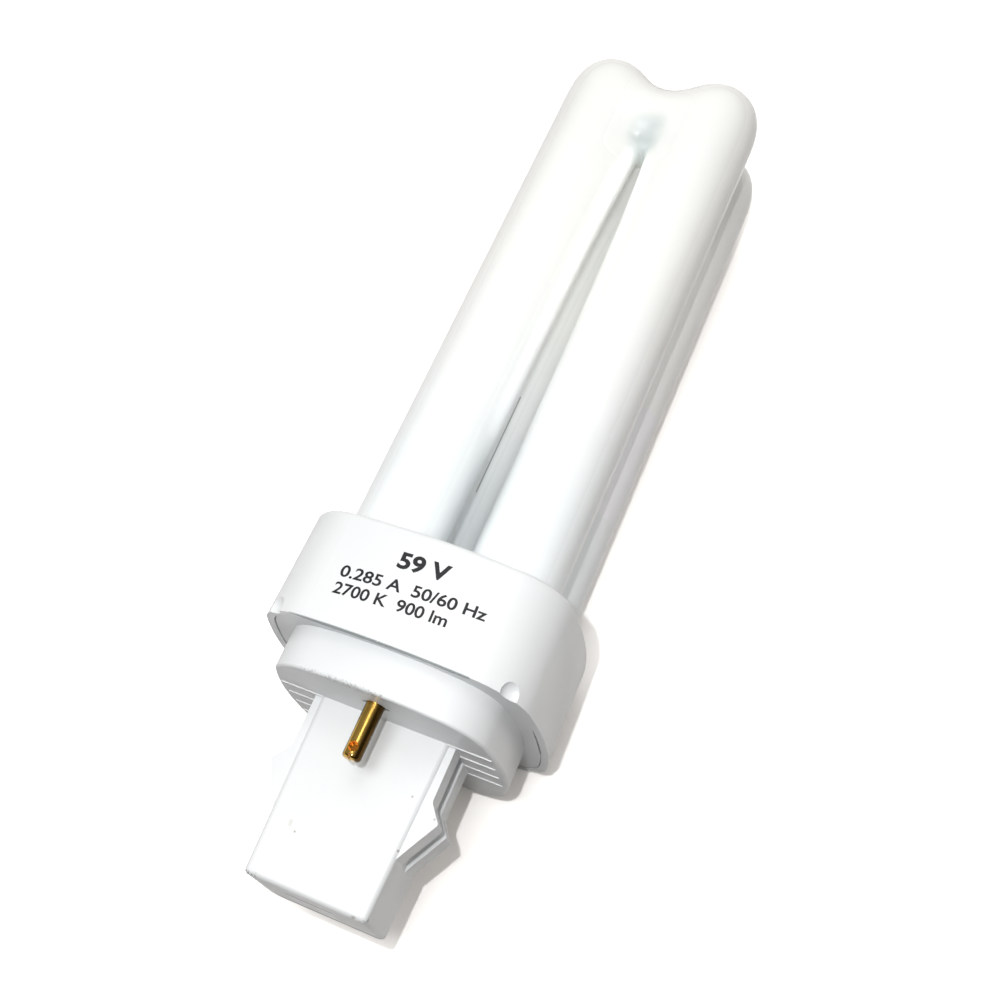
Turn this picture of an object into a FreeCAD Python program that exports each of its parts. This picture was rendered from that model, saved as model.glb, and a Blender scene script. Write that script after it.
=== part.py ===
import FreeCAD, Part
import math
import os
import Sketcher

# Thirteen-watt lamp with two twin tubes and a two-pin cap, lying on its back.
# Each piece is drawn upright: x across the key, y to the back, z along the legs from the cap's underside.
# It is then laid down, so that +Y of the row runs to the tube tips and +Z is the printed side.

os.makedirs("parts", exist_ok=True)
doc = FreeCAD.newDocument("compact_lamp")
sheet = doc.addObject("Spreadsheet::Sheet", "Sizes")

# Driving sizes in millimetres, each written once.
SIZES = [
    ("tube_radius", "6.15"),
    ("tube_half_gap_x", "1.85"),
    ("tube_half_gap_y", "1.15"),
    ("tube_foot_gap", "2.0"),
    ("tube_foot_round", "1.4"),
    ("dome_height", "96.2"),
    ("bend_drop", "2.0"),
    ("bend_end_step", "0.25"),
    ("bend_waist_step", "0.95"),
    ("bend_fillet", "1.1"),
    ("cross_height", "26.5"),
    ("cross_radius", "3.4"),
    ("collar_margin_x", "4.15"),
    ("collar_margin_y", "5.25"),
    ("collar_corner", "8.0"),
    ("collar_bulge", "0.85"),
    ("collar_taper", "-1.1"),
    ("collar_foot", "5.3"),
    ("collar_length", "14.4"),
    ("collar_skirt_wall", "1.0"),
    ("collar_wall", "1.9"),
    ("collar_plate", "2.0"),
    ("collar_top_round", "0.8"),
    ("tube_clearance", "0.25"),
    ("crimp_radius", "1.7"),
    ("crimp_depth", "0.75"),
    ("crimp_height", "0.5"),
    ("flange_recess", "0.12"),
    ("flange_thickness", "2.4"),
    ("flange_clearance", "0.12"),
    ("body_step_x", "3.2"),
    ("body_step_y", "2.2"),
    ("body_corner", "7.0"),
    ("body_bulge", "1.0"),
    ("body_wall", "1.5"),
    ("body_rim_round", "0.4"),
    ("underside_plate", "1.6"),
    ("rib_width", "0.25"),
    ("rib_height", "0.14"),
    ("rib_pitch", "3.75"),
    ("rib_end_gap", "1.05"),
    ("key_root_half_x", "8.6"),
    ("key_draft", "0.65"),
    ("key_front", "5.95"),
    ("key_back", "7.7"),
    ("key_length", "22.4"),
    ("key_wall", "1.3"),
    ("key_front_round", "0.7"),
    ("key_back_round", "2.0"),
    ("key_end_round", "0.6"),
    ("catch_step", "0.8"),
    ("catch_reach", "2.5"),
    ("catch_neck_length", "6.9"),
    ("catch_flare", "2.2"),
    ("catch_ramp", "5.6"),
    ("catch_root_inset", "0.15"),
    ("catch_groove_inset", "0.6"),
    ("catch_setback", "0.45"),
    ("catch_front_plate", "3.5"),
    ("catch_groove", "3.1"),
    ("catch_back_plate", "3.7"),
    ("catch_neck_round", "0.9"),
    ("catch_peak_round", "0.35"),
    ("pin_radius", "1.17"),
    ("pin_margin", "5.0"),
    ("pin_length", "6.95"),
    ("pin_bore", "0.72"),
    ("pin_root_radius", "1.35"),
    ("pin_hole_clearance", "0.03"),
    ("pin_shoulder_radius", "1.9"),
    ("pin_shoulder", "0.6"),
    ("pin_tip_round", "0.5"),
    ("pin_crimp_radius", "0.62"),
    ("pin_crimp_rise", "1.4"),
    ("pin_crimp_depth", "0.85"),
    ("pin_slot_width", "0.42"),
    ("pin_slot_depth", "0.6"),
    ("boss_radius", "2.4"),
    ("boss_height", "2.2"),
    ("bead_width", "0.85"),
    ("bead_height", "1.6"),
    ("bead_taper", "0.6"),
    ("wire_radius", "0.25"),
    ("wire_bend", "0.7"),
    ("wire_straight", "0.5"),
    ("electrode_wire_spread", "1.2"),
    ("ferrule_radius", "0.95"),
    ("ferrule_length", "3.4"),
    ("ferrule_foot", "0.2"),
    ("ferrule_round", "0.2"),
    ("ferrule_offset", "2.4"),
    ("ferrule_wire_spread", "0.45"),
    ("bulb_radius", "3.2"),
    ("bulb_headroom", "4.6"),
    ("bulb_clearance", "0.1"),
    ("bulb_foot_round", "2.0"),
    ("bulb_shoulder_round", "1.8"),
    ("bulb_neck_length", "2.2"),
    ("bulb_neck_half_x", "0.8"),
    ("bulb_neck_half_y", "1.7"),
    ("bulb_wire_spread", "0.9"),
    ("capacitor_headroom", "11.1"),
    ("capacitor_clearance", "0.85"),
    ("capacitor_half_x", "1.9"),
    ("capacitor_half_y", "4.0"),
    ("capacitor_round", "0.8"),
    ("capacitor_wire_spread", "2.5"),
]

# Places and sizes that follow from the driving ones.
DERIVED = [
    ("tube_offset_x", "tube_radius + tube_half_gap_x"),
    ("tube_offset_y", "tube_radius + tube_half_gap_y"),
    ("collar_half_x", "tube_offset_x + tube_radius + collar_margin_x"),
    ("collar_half_y", "tube_offset_y + tube_radius + collar_margin_y"),
    ("body_half_x", "collar_half_x - body_step_x"),
    ("body_half_y", "collar_half_y - body_step_y"),
    ("pin_offset", "body_half_y - pin_margin"),
    ("bend_height", "dome_height - bend_drop"),
    ("bend_end_radius", "tube_radius - bend_end_step"),
    ("bend_waist_radius", "tube_radius - bend_waist_step"),
    ("lamp_tip", "dome_height + tube_radius"),
    ("row_shift", "(lamp_tip - key_length) / 2"),
    ("collar_top", "collar_foot + collar_length"),
    ("flange_foot", "collar_foot + flange_recess"),
    ("flange_top", "flange_foot + flange_thickness"),
    ("tube_foot", "flange_top + tube_foot_gap"),
    ("plate_foot", "collar_top - collar_plate"),
    ("skirt_depth", "flange_top - collar_foot"),
    ("shaft_depth", "plate_foot - collar_foot"),
    ("crimp_reach", "(collar_corner + crimp_radius - crimp_depth) * sqrt(0.5)"),
    ("crimp_z", "collar_foot + crimp_height"),
    ("collar_hole", "tube_radius + tube_clearance"),
    ("bead_foot", "plate_foot - bead_height"),
    ("bead_radius", "tube_radius + bead_width"),
    ("bead_lip_radius", "bead_radius - bead_taper"),
    ("bend_rise", "bend_end_radius - bend_waist_radius"),
    ("bend_top", "bend_height + bend_end_radius"),
    ("bend_arc", "(tube_offset_x ^ 2 + bend_rise ^ 2) / (2 * bend_rise)"),
    ("cross_length", "2 * tube_offset_y"),
    ("body_height", "flange_foot + 0.5 * flange_thickness"),
    ("hollow_depth", "flange_top - underside_plate"),
    ("key_depth", "key_front + key_back"),
    ("key_mid_y", "(key_back - key_front) / 2"),
    ("key_root_z", "underside_plate / 2"),
    ("key_end_half_x", "key_root_half_x - key_draft"),
    ("cavity_half_x", "key_end_half_x - key_wall"),
    ("cavity_front", "key_front - key_wall"),
    ("cavity_back", "key_back - key_wall"),
    ("cavity_floor", "key_length - key_wall"),
    ("cavity_depth", "underside_plate + cavity_floor"),
    ("catch_neck_x", "key_root_half_x + catch_step"),
    ("catch_peak_x", "key_root_half_x + catch_reach"),
    ("catch_peak_length", "catch_neck_length + catch_flare"),
    ("catch_length", "catch_peak_length + catch_ramp"),
    ("catch_root_x", "key_end_half_x - catch_root_inset"),
    ("catch_groove_floor_x", "key_root_half_x - catch_groove_inset"),
    ("catch_ramp_foot", "catch_length + (key_root_half_x - catch_root_x) / 2"),
    ("catch_front_y", "key_front - catch_setback"),
    ("groove_front", "catch_front_y - catch_front_plate"),
    ("catch_back_start", "catch_groove - groove_front"),
    ("rib_root_x", "(key_root_half_x + catch_groove_floor_x) / 2"),
    ("rib_reach", "body_half_x - rib_end_gap"),
    ("rib_front", "key_front + rib_width / 2"),
    ("rib_rear", "key_front - rib_width / 2"),
    ("rib_run", "3 * rib_pitch"),
    ("pin_hole", "pin_root_radius + pin_hole_clearance"),
    ("boss_top", "underside_plate + boss_height"),
    ("pin_top", "boss_top + pin_shoulder"),
    ("pin_crimp_z", "pin_length - pin_crimp_rise"),
    ("pin_slot_half", "pin_slot_width / 2"),
    ("pin_slot_z", "pin_length - pin_slot_depth"),
    ("pin_width", "2 * pin_radius"),
    ("pin_throat", "pin_length - pin_crimp_rise - pin_crimp_radius"),
    ("wire_end_in_pin", "pin_length - pin_slot_depth"),
    ("ferrule_top", "ferrule_foot + ferrule_length"),
    ("ferrule_front_y", "key_mid_y - ferrule_offset"),
    ("ferrule_back_y", "key_mid_y + ferrule_offset"),
    ("bulb_length", "cavity_floor - bulb_headroom"),
    ("bulb_offset", "cavity_half_x - bulb_radius - bulb_clearance"),
    ("bulb_top", "bulb_length - cavity_floor"),
    ("bulb_shoulder", "bulb_top - bulb_neck_length"),
    ("bulb_wall_length", "bulb_length - bulb_neck_length"),
    ("bulb_front_wire_y", "key_mid_y - bulb_wire_spread"),
    ("bulb_back_wire_y", "key_mid_y + bulb_wire_spread"),
    ("capacitor_length", "cavity_floor - capacitor_headroom"),
    ("capacitor_offset", "cavity_half_x - capacitor_half_x - capacitor_clearance"),
    ("capacitor_top", "capacitor_length - cavity_floor"),
    ("capacitor_front_wire_y", "key_mid_y - capacitor_wire_spread"),
    ("capacitor_back_wire_y", "key_mid_y + capacitor_wire_spread"),
    ("lead_inner_x", "tube_offset_x - electrode_wire_spread"),
    ("pin_lead_straight", "pin_top + wire_end_in_pin + wire_straight"),
    ("lead_outer_x", "tube_offset_x + electrode_wire_spread"),
]

# Ovals: half widths, corner radius and bulge of the sides, each as a cell or a formula of cells.
OVALS = {
    "collar_outline": ("collar_half_x", "collar_half_y", "collar_corner", "collar_bulge"),
    "skirt_inside": (
        "collar_half_x - collar_skirt_wall", "collar_half_y - collar_skirt_wall",
        "collar_corner - collar_skirt_wall", "collar_bulge"),
    "shaft_inside": (
        "collar_half_x - collar_wall", "collar_half_y - collar_wall",
        "collar_corner - collar_wall", "collar_bulge"),
    "flange_outline": (
        "collar_half_x - collar_skirt_wall - flange_clearance",
        "collar_half_y - collar_skirt_wall - flange_clearance",
        "collar_corner - collar_skirt_wall - flange_clearance", "collar_bulge"),
    "body_outline": ("body_half_x", "body_half_y", "body_corner", "body_bulge"),
    "body_inside": (
        "body_half_x - body_wall", "body_half_y - body_wall", "body_corner - body_wall", "body_bulge"),
}

sheet_rows = []


def add_cells(rows):
    """Writes sizes to cells of their own, each with its name as the alias."""
    for name, content in rows:
        sheet_rows.append(name)
        row = len(sheet_rows)
        sheet.set(f"A{row}", name)
        sheet.set(f"B{row}", content)
        sheet.setAlias(f"B{row}", name)
    doc.recompute()


def fill_sheet():
    """Writes the driving sizes, what follows from them, and the numbers of each oval."""
    add_cells(SIZES)
    add_cells([(name, "=" + formula) for name, formula in DERIVED])
    for name, (half_x, half_y, corner, bulge) in OVALS.items():
        add_cells([
            (name + "_x", "=" + half_x),
            (name + "_y", "=" + half_y),
            (name + "_corner", "=" + corner),
            (name + "_cx", f"={name}_x - {name}_corner - {bulge}"),
            (name + "_cy", f"={name}_y - {name}_corner - {bulge}"),
            (name + "_reach", f"={name}_corner + {bulge}"),
            (name + "_rx", f"=({name}_cx ^ 2 + {name}_reach ^ 2 - {name}_corner ^ 2) / (2 * {bulge})"),
            (name + "_ry", f"=({name}_cy ^ 2 + {name}_reach ^ 2 - {name}_corner ^ 2) / (2 * {bulge})"),
        ])
    add_cells([
        ("crimp_x", "=collar_outline_cx + crimp_reach"),
        ("crimp_y", "=collar_outline_cy + crimp_reach"),
    ])


def value(name):
    """Number in a cell, with an optional minus sign before its alias."""
    if name == "0":
        return 0.0
    if name.startswith("-"):
        return -float(sheet.get(name[1:]))
    return float(sheet.get(name))


def bind(item, path, name):
    """Ties a property to a cell, with an optional minus sign before its alias."""
    sign = "-" if name.startswith("-") else ""
    item.setExpression(path, f"{sign}Sizes.{name.lstrip('-')}")


def new_body(name, x_name="0", y_name="0", turn=0.0):
    """A body drawn upright at its place, and laid down with the collar's back on the floor."""
    body = doc.addObject("PartDesign::Body", name)
    body.Label = name
    lying = FreeCAD.Rotation(FreeCAD.Vector(1, 0, 0), -90)
    turned = FreeCAD.Rotation(FreeCAD.Vector(0, 0, 1), turn)
    base = FreeCAD.Vector(value(x_name), -value("row_shift"), value("collar_half_y") - value(y_name))
    body.Placement = FreeCAD.Placement(base, lying * turned)
    bind(body, "Placement.Base.y", "-row_shift")
    if x_name != "0":
        bind(body, "Placement.Base.x", x_name)
    depth = "Sizes.collar_half_y"
    if y_name != "0":
        sign = "+" if y_name.startswith("-") else "-"
        depth += f" {sign} Sizes.{y_name.lstrip('-')}"
    body.setExpression("Placement.Base.z", depth)
    return body


def origin_plane(body, role):
    """One of the body's own planes."""
    return next(item for item in body.Origin.OriginFeatures if item.Role == role)


def new_sketch(body, name, plane, offset="0"):
    """A sketch on one of the body's own planes, moved along the plane's normal by a cell."""
    sketch = body.newObject("Sketcher::SketchObject", name)
    sketch.AttachmentSupport = [(origin_plane(body, plane), "")]
    sketch.MapMode = "FlatFace"
    if offset != "0":
        bind(sketch, "AttachmentOffset.Base.z", offset)
    return sketch


def size_constraint(sketch, kind, arguments, name):
    """A constraint whose size comes from a cell."""
    index = sketch.addConstraint(Sketcher.Constraint(kind, *arguments, value(name)))
    bind(sketch, f"Constraints[{index}]", name)


def fix_point(sketch, geometry, point, x_name, y_name):
    """Places a point of the sketch by two cells, each with its sign."""
    for kind, axis, name in (("DistanceX", -2, x_name), ("DistanceY", -1, y_name)):
        if name == "0":
            sketch.addConstraint(Sketcher.Constraint("PointOnObject", geometry, point, axis))
        elif value(name) >= 0:
            size_constraint(sketch, kind, (-1, 1, geometry, point), name)
        else:
            opposite = name[1:] if name.startswith("-") else "-" + name
            size_constraint(sketch, kind, (geometry, point, -1, 1), opposite)


def draw_polygon(sketch, corners, first=0):
    """Closed outline of straight lines through corners given by cells."""
    points = [FreeCAD.Vector(value(x_name), value(y_name), 0) for x_name, y_name in corners]
    count = len(points)
    for index, point in enumerate(points):
        sketch.addGeometry(Part.LineSegment(point, points[(index + 1) % count]), False)
    for index, (x_name, y_name) in enumerate(corners):
        following = first + (index + 1) % count
        sketch.addConstraint(Sketcher.Constraint("Coincident", first + index, 2, following, 1))
        fix_point(sketch, first + index, 1, x_name, y_name)


def draw_box(sketch, left, right, low, high, first=0):
    """Closed rectangle between four cells."""
    draw_polygon(sketch, [(left, low), (right, low), (right, high), (left, high)], first)


def draw_circle(sketch, radius, x_name="0", y_name="0"):
    """A circle with its radius and centre from cells."""
    centre = FreeCAD.Vector(value(x_name), value(y_name), 0)
    index = sketch.addGeometry(Part.Circle(centre, FreeCAD.Vector(0, 0, 1), value(radius)), False)
    size_constraint(sketch, "Radius", (index,), radius)
    fix_point(sketch, index, 3, x_name, y_name)


def draw_arc(sketch, x, y, radius, start, end):
    """An arc about a centre, anticlockwise between two angles."""
    circle = Part.Circle(FreeCAD.Vector(x, y, 0), FreeCAD.Vector(0, 0, 1), radius)
    return sketch.addGeometry(Part.ArcOfCircle(circle, start, end), False)


def draw_oval(sketch, name):
    """Closed outline of eight tangent arcs: four gently bulging sides and four corners."""
    x, y, corner = value(name + "_cx"), value(name + "_cy"), value(name + "_corner")
    across, along = value(name + "_rx"), value(name + "_ry")
    end_x, end_y = value(name + "_x") - along, value(name + "_y") - across
    top, side = math.atan2(y - end_y, x), math.atan2(y, x - end_x)
    half = math.pi
    draw_arc(sketch, end_x, 0, along, -side, side)
    draw_arc(sketch, x, y, corner, side, top)
    draw_arc(sketch, 0, end_y, across, top, half - top)
    draw_arc(sketch, -x, y, corner, half - top, half - side)
    draw_arc(sketch, -end_x, 0, along, half - side, half + side)
    draw_arc(sketch, -x, -y, corner, half + side, half + top)
    draw_arc(sketch, 0, -end_y, across, half + top, 2 * half - top)
    draw_arc(sketch, x, -y, corner, 2 * half - top, 2 * half - side)
    for index in range(8):
        sketch.addConstraint(Sketcher.Constraint("Tangent", index, 2, (index + 1) % 8, 1))
    fix_point(sketch, 1, 3, name + "_cx", name + "_cy")
    sketch.addConstraint(Sketcher.Constraint("Symmetric", 1, 3, 3, 3, -2))
    sketch.addConstraint(Sketcher.Constraint("Symmetric", 1, 3, 7, 3, -1))
    sketch.addConstraint(Sketcher.Constraint("Symmetric", 1, 3, 5, 3, -1, 1))
    for first, other in ((1, 3), (1, 5), (1, 7), (2, 6), (0, 4)):
        sketch.addConstraint(Sketcher.Constraint("Equal", first, other))
    for index, cell in ((1, name + "_corner"), (2, name + "_rx"), (0, name + "_ry")):
        size_constraint(sketch, "Radius", (index,), cell)


def raise_pad(body, sketch, name, length, reverse=False):
    """Adds material from the sketch, along its normal unless reversed."""
    pad = body.newObject("PartDesign::Pad", name)
    pad.Profile = sketch
    pad.Reversed = reverse
    bind(pad, "Length", length)
    doc.recompute()
    return pad


def cut_pocket(body, sketch, name, length, reverse=False):
    """Takes material away against the sketch's normal unless reversed, and checks that it does."""
    before = body.Shape.Volume
    pocket = body.newObject("PartDesign::Pocket", name)
    pocket.Profile = sketch
    pocket.Reversed = reverse
    bind(pocket, "Length", length)
    doc.recompute()
    if body.Shape.Volume >= before:
        raise RuntimeError(name + " cuts nothing")
    return pocket


def spin(body, sketch, name):
    """Turns a profile round the first construction line of its sketch."""
    turned = body.newObject("PartDesign::Revolution", name)
    turned.Profile = sketch
    turned.ReferenceAxis = (sketch, ["Axis0"])
    turned.Angle = 360
    doc.recompute()
    return turned


def mirror(body, features, name, plane):
    """Repeats features on the other side of one of the body's planes."""
    copy = body.newObject("PartDesign::Mirrored", name)
    copy.Originals = features
    copy.MirrorPlane = (origin_plane(body, plane), [""])
    body.Tip = copy
    doc.recompute()
    return copy


def round_edges(body, name, radius, wanted):
    """Rounds the edges that the test picks by their box in the body's upright frame."""
    base = body.Tip
    numbered = enumerate(base.Shape.Edges, start=1)
    edges = [f"Edge{number}" for number, edge in numbered if wanted(edge.BoundBox)]
    if not edges:
        raise RuntimeError(name + " finds no edge")
    fillet = body.newObject("PartDesign::Fillet", name)
    fillet.Base = (base, edges)
    bind(fillet, "Radius", radius)
    doc.recompute()
    return fillet


def near(number, target):
    """Whether two lengths agree to a hundredth of a millimetre."""
    return abs(number - target) < 0.01


def draw_leg(body, name, side):
    """A front leg, spun round its own axis: rounded foot, straight wall and domed tip."""
    sketch = new_sketch(body, name + "_profile", "XZ_Plane", "tube_offset_y")
    axis_name = "tube_offset_x" if side > 0 else "-tube_offset_x"
    axis, radius, rounding = value(axis_name), value("tube_radius"), value("tube_foot_round")
    foot, dome = value("tube_foot"), value("dome_height")
    low, high = FreeCAD.Vector(axis, foot, 0), FreeCAD.Vector(axis, dome + radius, 0)
    wall_low = FreeCAD.Vector(axis + radius, foot + rounding, 0)
    wall_high = FreeCAD.Vector(axis + radius, dome, 0)
    sketch.addGeometry(Part.LineSegment(low, FreeCAD.Vector(axis + radius - rounding, foot, 0)), False)
    draw_arc(sketch, axis + radius - rounding, foot + rounding, rounding, -math.pi / 2, 0)
    sketch.addGeometry(Part.LineSegment(wall_low, wall_high), False)
    draw_arc(sketch, axis, dome, radius, 0, math.pi / 2)
    sketch.addGeometry(Part.LineSegment(high, low), False)
    sketch.addGeometry(Part.LineSegment(low, high), True)
    for index in range(3):
        sketch.addConstraint(Sketcher.Constraint("Tangent", index, 2, index + 1, 1))
    for ends in ((3, 2, 4, 1), (4, 2, 0, 1), (5, 1, 4, 2), (5, 2, 4, 1)):
        sketch.addConstraint(Sketcher.Constraint("Coincident", *ends))
    sketch.addConstraint(Sketcher.Constraint("Horizontal", 0))
    sketch.addConstraint(Sketcher.Constraint("Vertical", 4))
    fix_point(sketch, 0, 1, axis_name, "tube_foot")
    fix_point(sketch, 3, 3, axis_name, "dome_height")
    size_constraint(sketch, "Radius", (1,), "tube_foot_round")
    size_constraint(sketch, "Radius", (3,), "tube_radius")
    return spin(body, sketch, name)


def draw_bend(body, name):
    """The front bend: a waisted bar between two domes, spun round the line that joins them."""
    sketch = new_sketch(body, name + "_profile", "XZ_Plane", "tube_offset_y")
    reach, height, top = value("tube_offset_x"), value("bend_height"), value("bend_top")
    arc = value("bend_arc")
    opening = math.asin(reach / arc)
    left_low, right_low = FreeCAD.Vector(-reach, height, 0), FreeCAD.Vector(reach, height, 0)
    left_high, right_high = FreeCAD.Vector(-reach, top, 0), FreeCAD.Vector(reach, top, 0)
    sketch.addGeometry(Part.LineSegment(left_low, right_low), False)
    sketch.addGeometry(Part.LineSegment(right_low, right_high), False)
    centre = height + value("bend_waist_radius") + arc
    draw_arc(sketch, 0, centre, arc, -math.pi / 2 - opening, -math.pi / 2 + opening)
    sketch.addGeometry(Part.LineSegment(left_high, left_low), False)
    sketch.addGeometry(Part.LineSegment(left_low, right_low), True)
    for ends in ((0, 2, 1, 1), (1, 2, 2, 2), (2, 1, 3, 1), (3, 2, 0, 1), (4, 1, 0, 1), (4, 2, 0, 2)):
        sketch.addConstraint(Sketcher.Constraint("Coincident", *ends))
    fix_point(sketch, 0, 1, "-tube_offset_x", "bend_height")
    fix_point(sketch, 1, 1, "tube_offset_x", "bend_height")
    fix_point(sketch, 1, 2, "tube_offset_x", "bend_top")
    fix_point(sketch, 3, 1, "-tube_offset_x", "bend_top")
    size_constraint(sketch, "Radius", (2,), "bend_arc")
    return spin(body, sketch, name)


def build_discharge_tube():
    """Sealed glass: four legs, two bends at the tips and one cross bar by the collar."""
    body = new_body("discharge_tube")
    cross = new_sketch(body, "cross_bar_profile", "XZ_Plane", "tube_offset_y")
    draw_circle(cross, "cross_radius", "-tube_offset_x", "cross_height")
    raise_pad(body, cross, "cross_bar", "cross_length", reverse=True)
    left = draw_leg(body, "left_leg", -1)
    mirror(body, [left], "left_leg_behind", "XZ_Plane")
    bend = draw_bend(body, "bend")
    mirror(body, [bend], "bend_behind", "XZ_Plane")
    right = draw_leg(body, "right_leg", 1)
    mirror(body, [right], "right_leg_behind", "XZ_Plane")
    low = value("bend_height") - value("tube_radius")

    def is_seam(box):
        """Whether an edge bends all three ways at the tips, on one side of the middle."""
        curved = min(box.XLength, box.YLength, box.ZLength) > 0.1
        return curved and box.ZMin > low and box.XMin * box.XMax > 0

    round_edges(body, "bend_blend", "bend_fillet", is_seam)
    return body


def build_collar():
    """Moulded sleeve: skirt, thicker shaft above the cap's flange, and a plate with four holes."""
    body = new_body("collar")
    outline = new_sketch(body, "sleeve_outline", "XY_Plane", "collar_foot")
    draw_oval(outline, "collar_outline")
    sleeve = raise_pad(body, outline, "sleeve", "collar_length")
    bind(sleeve, "TaperAngle", "collar_taper")
    doc.recompute()
    top = value("collar_top")
    round_edges(body, "sleeve_top_round", "collar_top_round", lambda box: near(box.ZMin, top))
    for name in ("skirt", "shaft"):
        inside = new_sketch(body, name + "_outline", "XY_Plane", "collar_foot")
        draw_oval(inside, name + "_inside")
        cut_pocket(body, inside, name + "_hollow", name + "_depth", reverse=True)
    holes = new_sketch(body, "leg_hole_circles", "XY_Plane", "collar_top")
    for x_name in ("-tube_offset_x", "tube_offset_x"):
        for y_name in ("-tube_offset_y", "tube_offset_y"):
            draw_circle(holes, "collar_hole", x_name, y_name)
    cut_pocket(body, holes, "leg_holes", "collar_plate")
    for number, (x_sign, y_sign) in enumerate((("-", "-"), ("", "-"), ("-", ""), ("", "")), start=1):
        dimple = body.newObject("PartDesign::SubtractiveSphere", f"crimp_dimple_{number}")
        bind(dimple, "Radius", "crimp_radius")
        bind(dimple, "Placement.Base.x", x_sign + "crimp_x")
        bind(dimple, "Placement.Base.y", y_sign + "crimp_y")
        bind(dimple, "Placement.Base.z", "crimp_z")
        doc.recompute()
    return body


def add_catches(body):
    """A grooved spring catch on each narrow side of the key: two plates with a slot between them."""
    profile = [
        ("catch_root_x", "key_root_z"),
        ("catch_neck_x", "key_root_z"),
        ("catch_neck_x", "-catch_neck_length"),
        ("catch_peak_x", "-catch_peak_length"),
        ("catch_root_x", "-catch_ramp_foot"),
    ]
    plates = []
    for name, start, thickness in (
            ("catch_front", "catch_front_y", "catch_front_plate"),
            ("catch_back", "-catch_back_start", "catch_back_plate")):
        outline = new_sketch(body, name + "_profile", "XZ_Plane", start)
        draw_polygon(outline, profile)
        plates.append(raise_pad(body, outline, name, thickness, reverse=True))
    slot = new_sketch(body, "catch_slot_profile", "XZ_Plane", "groove_front")
    draw_box(slot, "catch_groove_floor_x", "catch_peak_x", "-catch_length", "0")
    plates.append(cut_pocket(body, slot, "catch_slot", "catch_groove"))
    mirror(body, plates, "catches_opposite", "YZ_Plane")
    for name, radius, x_name, z_name in (
            ("catch_neck_blend", "catch_neck_round", "catch_neck_x", "catch_neck_length"),
            ("catch_peak_blend", "catch_peak_round", "catch_peak_x", "catch_peak_length")):
        x, z = value(x_name), -value(z_name)
        round_edges(body, name, radius, lambda box: near(abs(box.XMin), x) and near(box.Center.z, z))


def build_base_cap():
    """Moulded cap: oval body, flange, hollow key with catches, underside ribs and bosses for the pins."""
    body = new_body("base_cap")
    outline = new_sketch(body, "cap_outline", "XY_Plane")
    draw_oval(outline, "body_outline")
    raise_pad(body, outline, "cap_body", "body_height")
    round_edges(body, "cap_rim_round", "body_rim_round", lambda box: near(box.ZMax, 0))
    flange = new_sketch(body, "flange_profile", "XY_Plane", "flange_foot")
    draw_oval(flange, "flange_outline")
    raise_pad(body, flange, "flange", "flange_thickness")
    key = new_sketch(body, "key_profile", "XZ_Plane", "key_front")
    draw_polygon(key, [
        ("-key_end_half_x", "-key_length"), ("key_end_half_x", "-key_length"),
        ("key_root_half_x", "key_root_z"), ("-key_root_half_x", "key_root_z")])
    raise_pad(body, key, "key", "key_depth", reverse=True)
    foot = -value("key_length")
    for name, radius, y in (
            ("key_front_blend", "key_front_round", -value("key_front")),
            ("key_back_blend", "key_back_round", value("key_back"))):
        round_edges(body, name, radius, lambda box: near(box.Center.y, y) and box.ZLength > 2)
    round_edges(body, "key_end_blend", "key_end_round", lambda box: near(box.ZMax, foot))
    add_catches(body)
    ribs = new_sketch(body, "rib_outlines", "XY_Plane")
    draw_box(ribs, "rib_root_x", "rib_reach", "-rib_front", "-rib_rear")
    draw_box(ribs, "-rib_reach", "-rib_root_x", "-rib_front", "-rib_rear", first=4)
    rib = raise_pad(body, ribs, "rib_pair", "rib_height", reverse=True)
    rows = body.newObject("PartDesign::LinearPattern", "rib_rows")
    rows.Originals = [rib]
    rows.Direction = (ribs, ["V_Axis"])
    rows.Occurrences = 4
    bind(rows, "Length", "rib_run")
    body.Tip = rows
    doc.recompute()
    inside = new_sketch(body, "hollow_outline", "XY_Plane", "flange_top")
    draw_oval(inside, "body_inside")
    cut_pocket(body, inside, "hollow", "hollow_depth")
    cavity = new_sketch(body, "key_cavity_outline", "XY_Plane", "underside_plate")
    draw_box(cavity, "-cavity_half_x", "cavity_half_x", "-cavity_front", "cavity_back")
    cut_pocket(body, cavity, "key_cavity", "cavity_depth")
    bosses = new_sketch(body, "boss_outlines", "XY_Plane", "underside_plate")
    holes = new_sketch(body, "pin_hole_circles", "XY_Plane", "boss_top")
    for y_name in ("-pin_offset", "pin_offset"):
        draw_circle(bosses, "boss_radius", "0", y_name)
        draw_circle(holes, "pin_hole", "0", y_name)
    raise_pad(body, bosses, "pin_bosses", "boss_height")
    cut_pocket(body, holes, "pin_holes", "boss_top")
    return body


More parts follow.
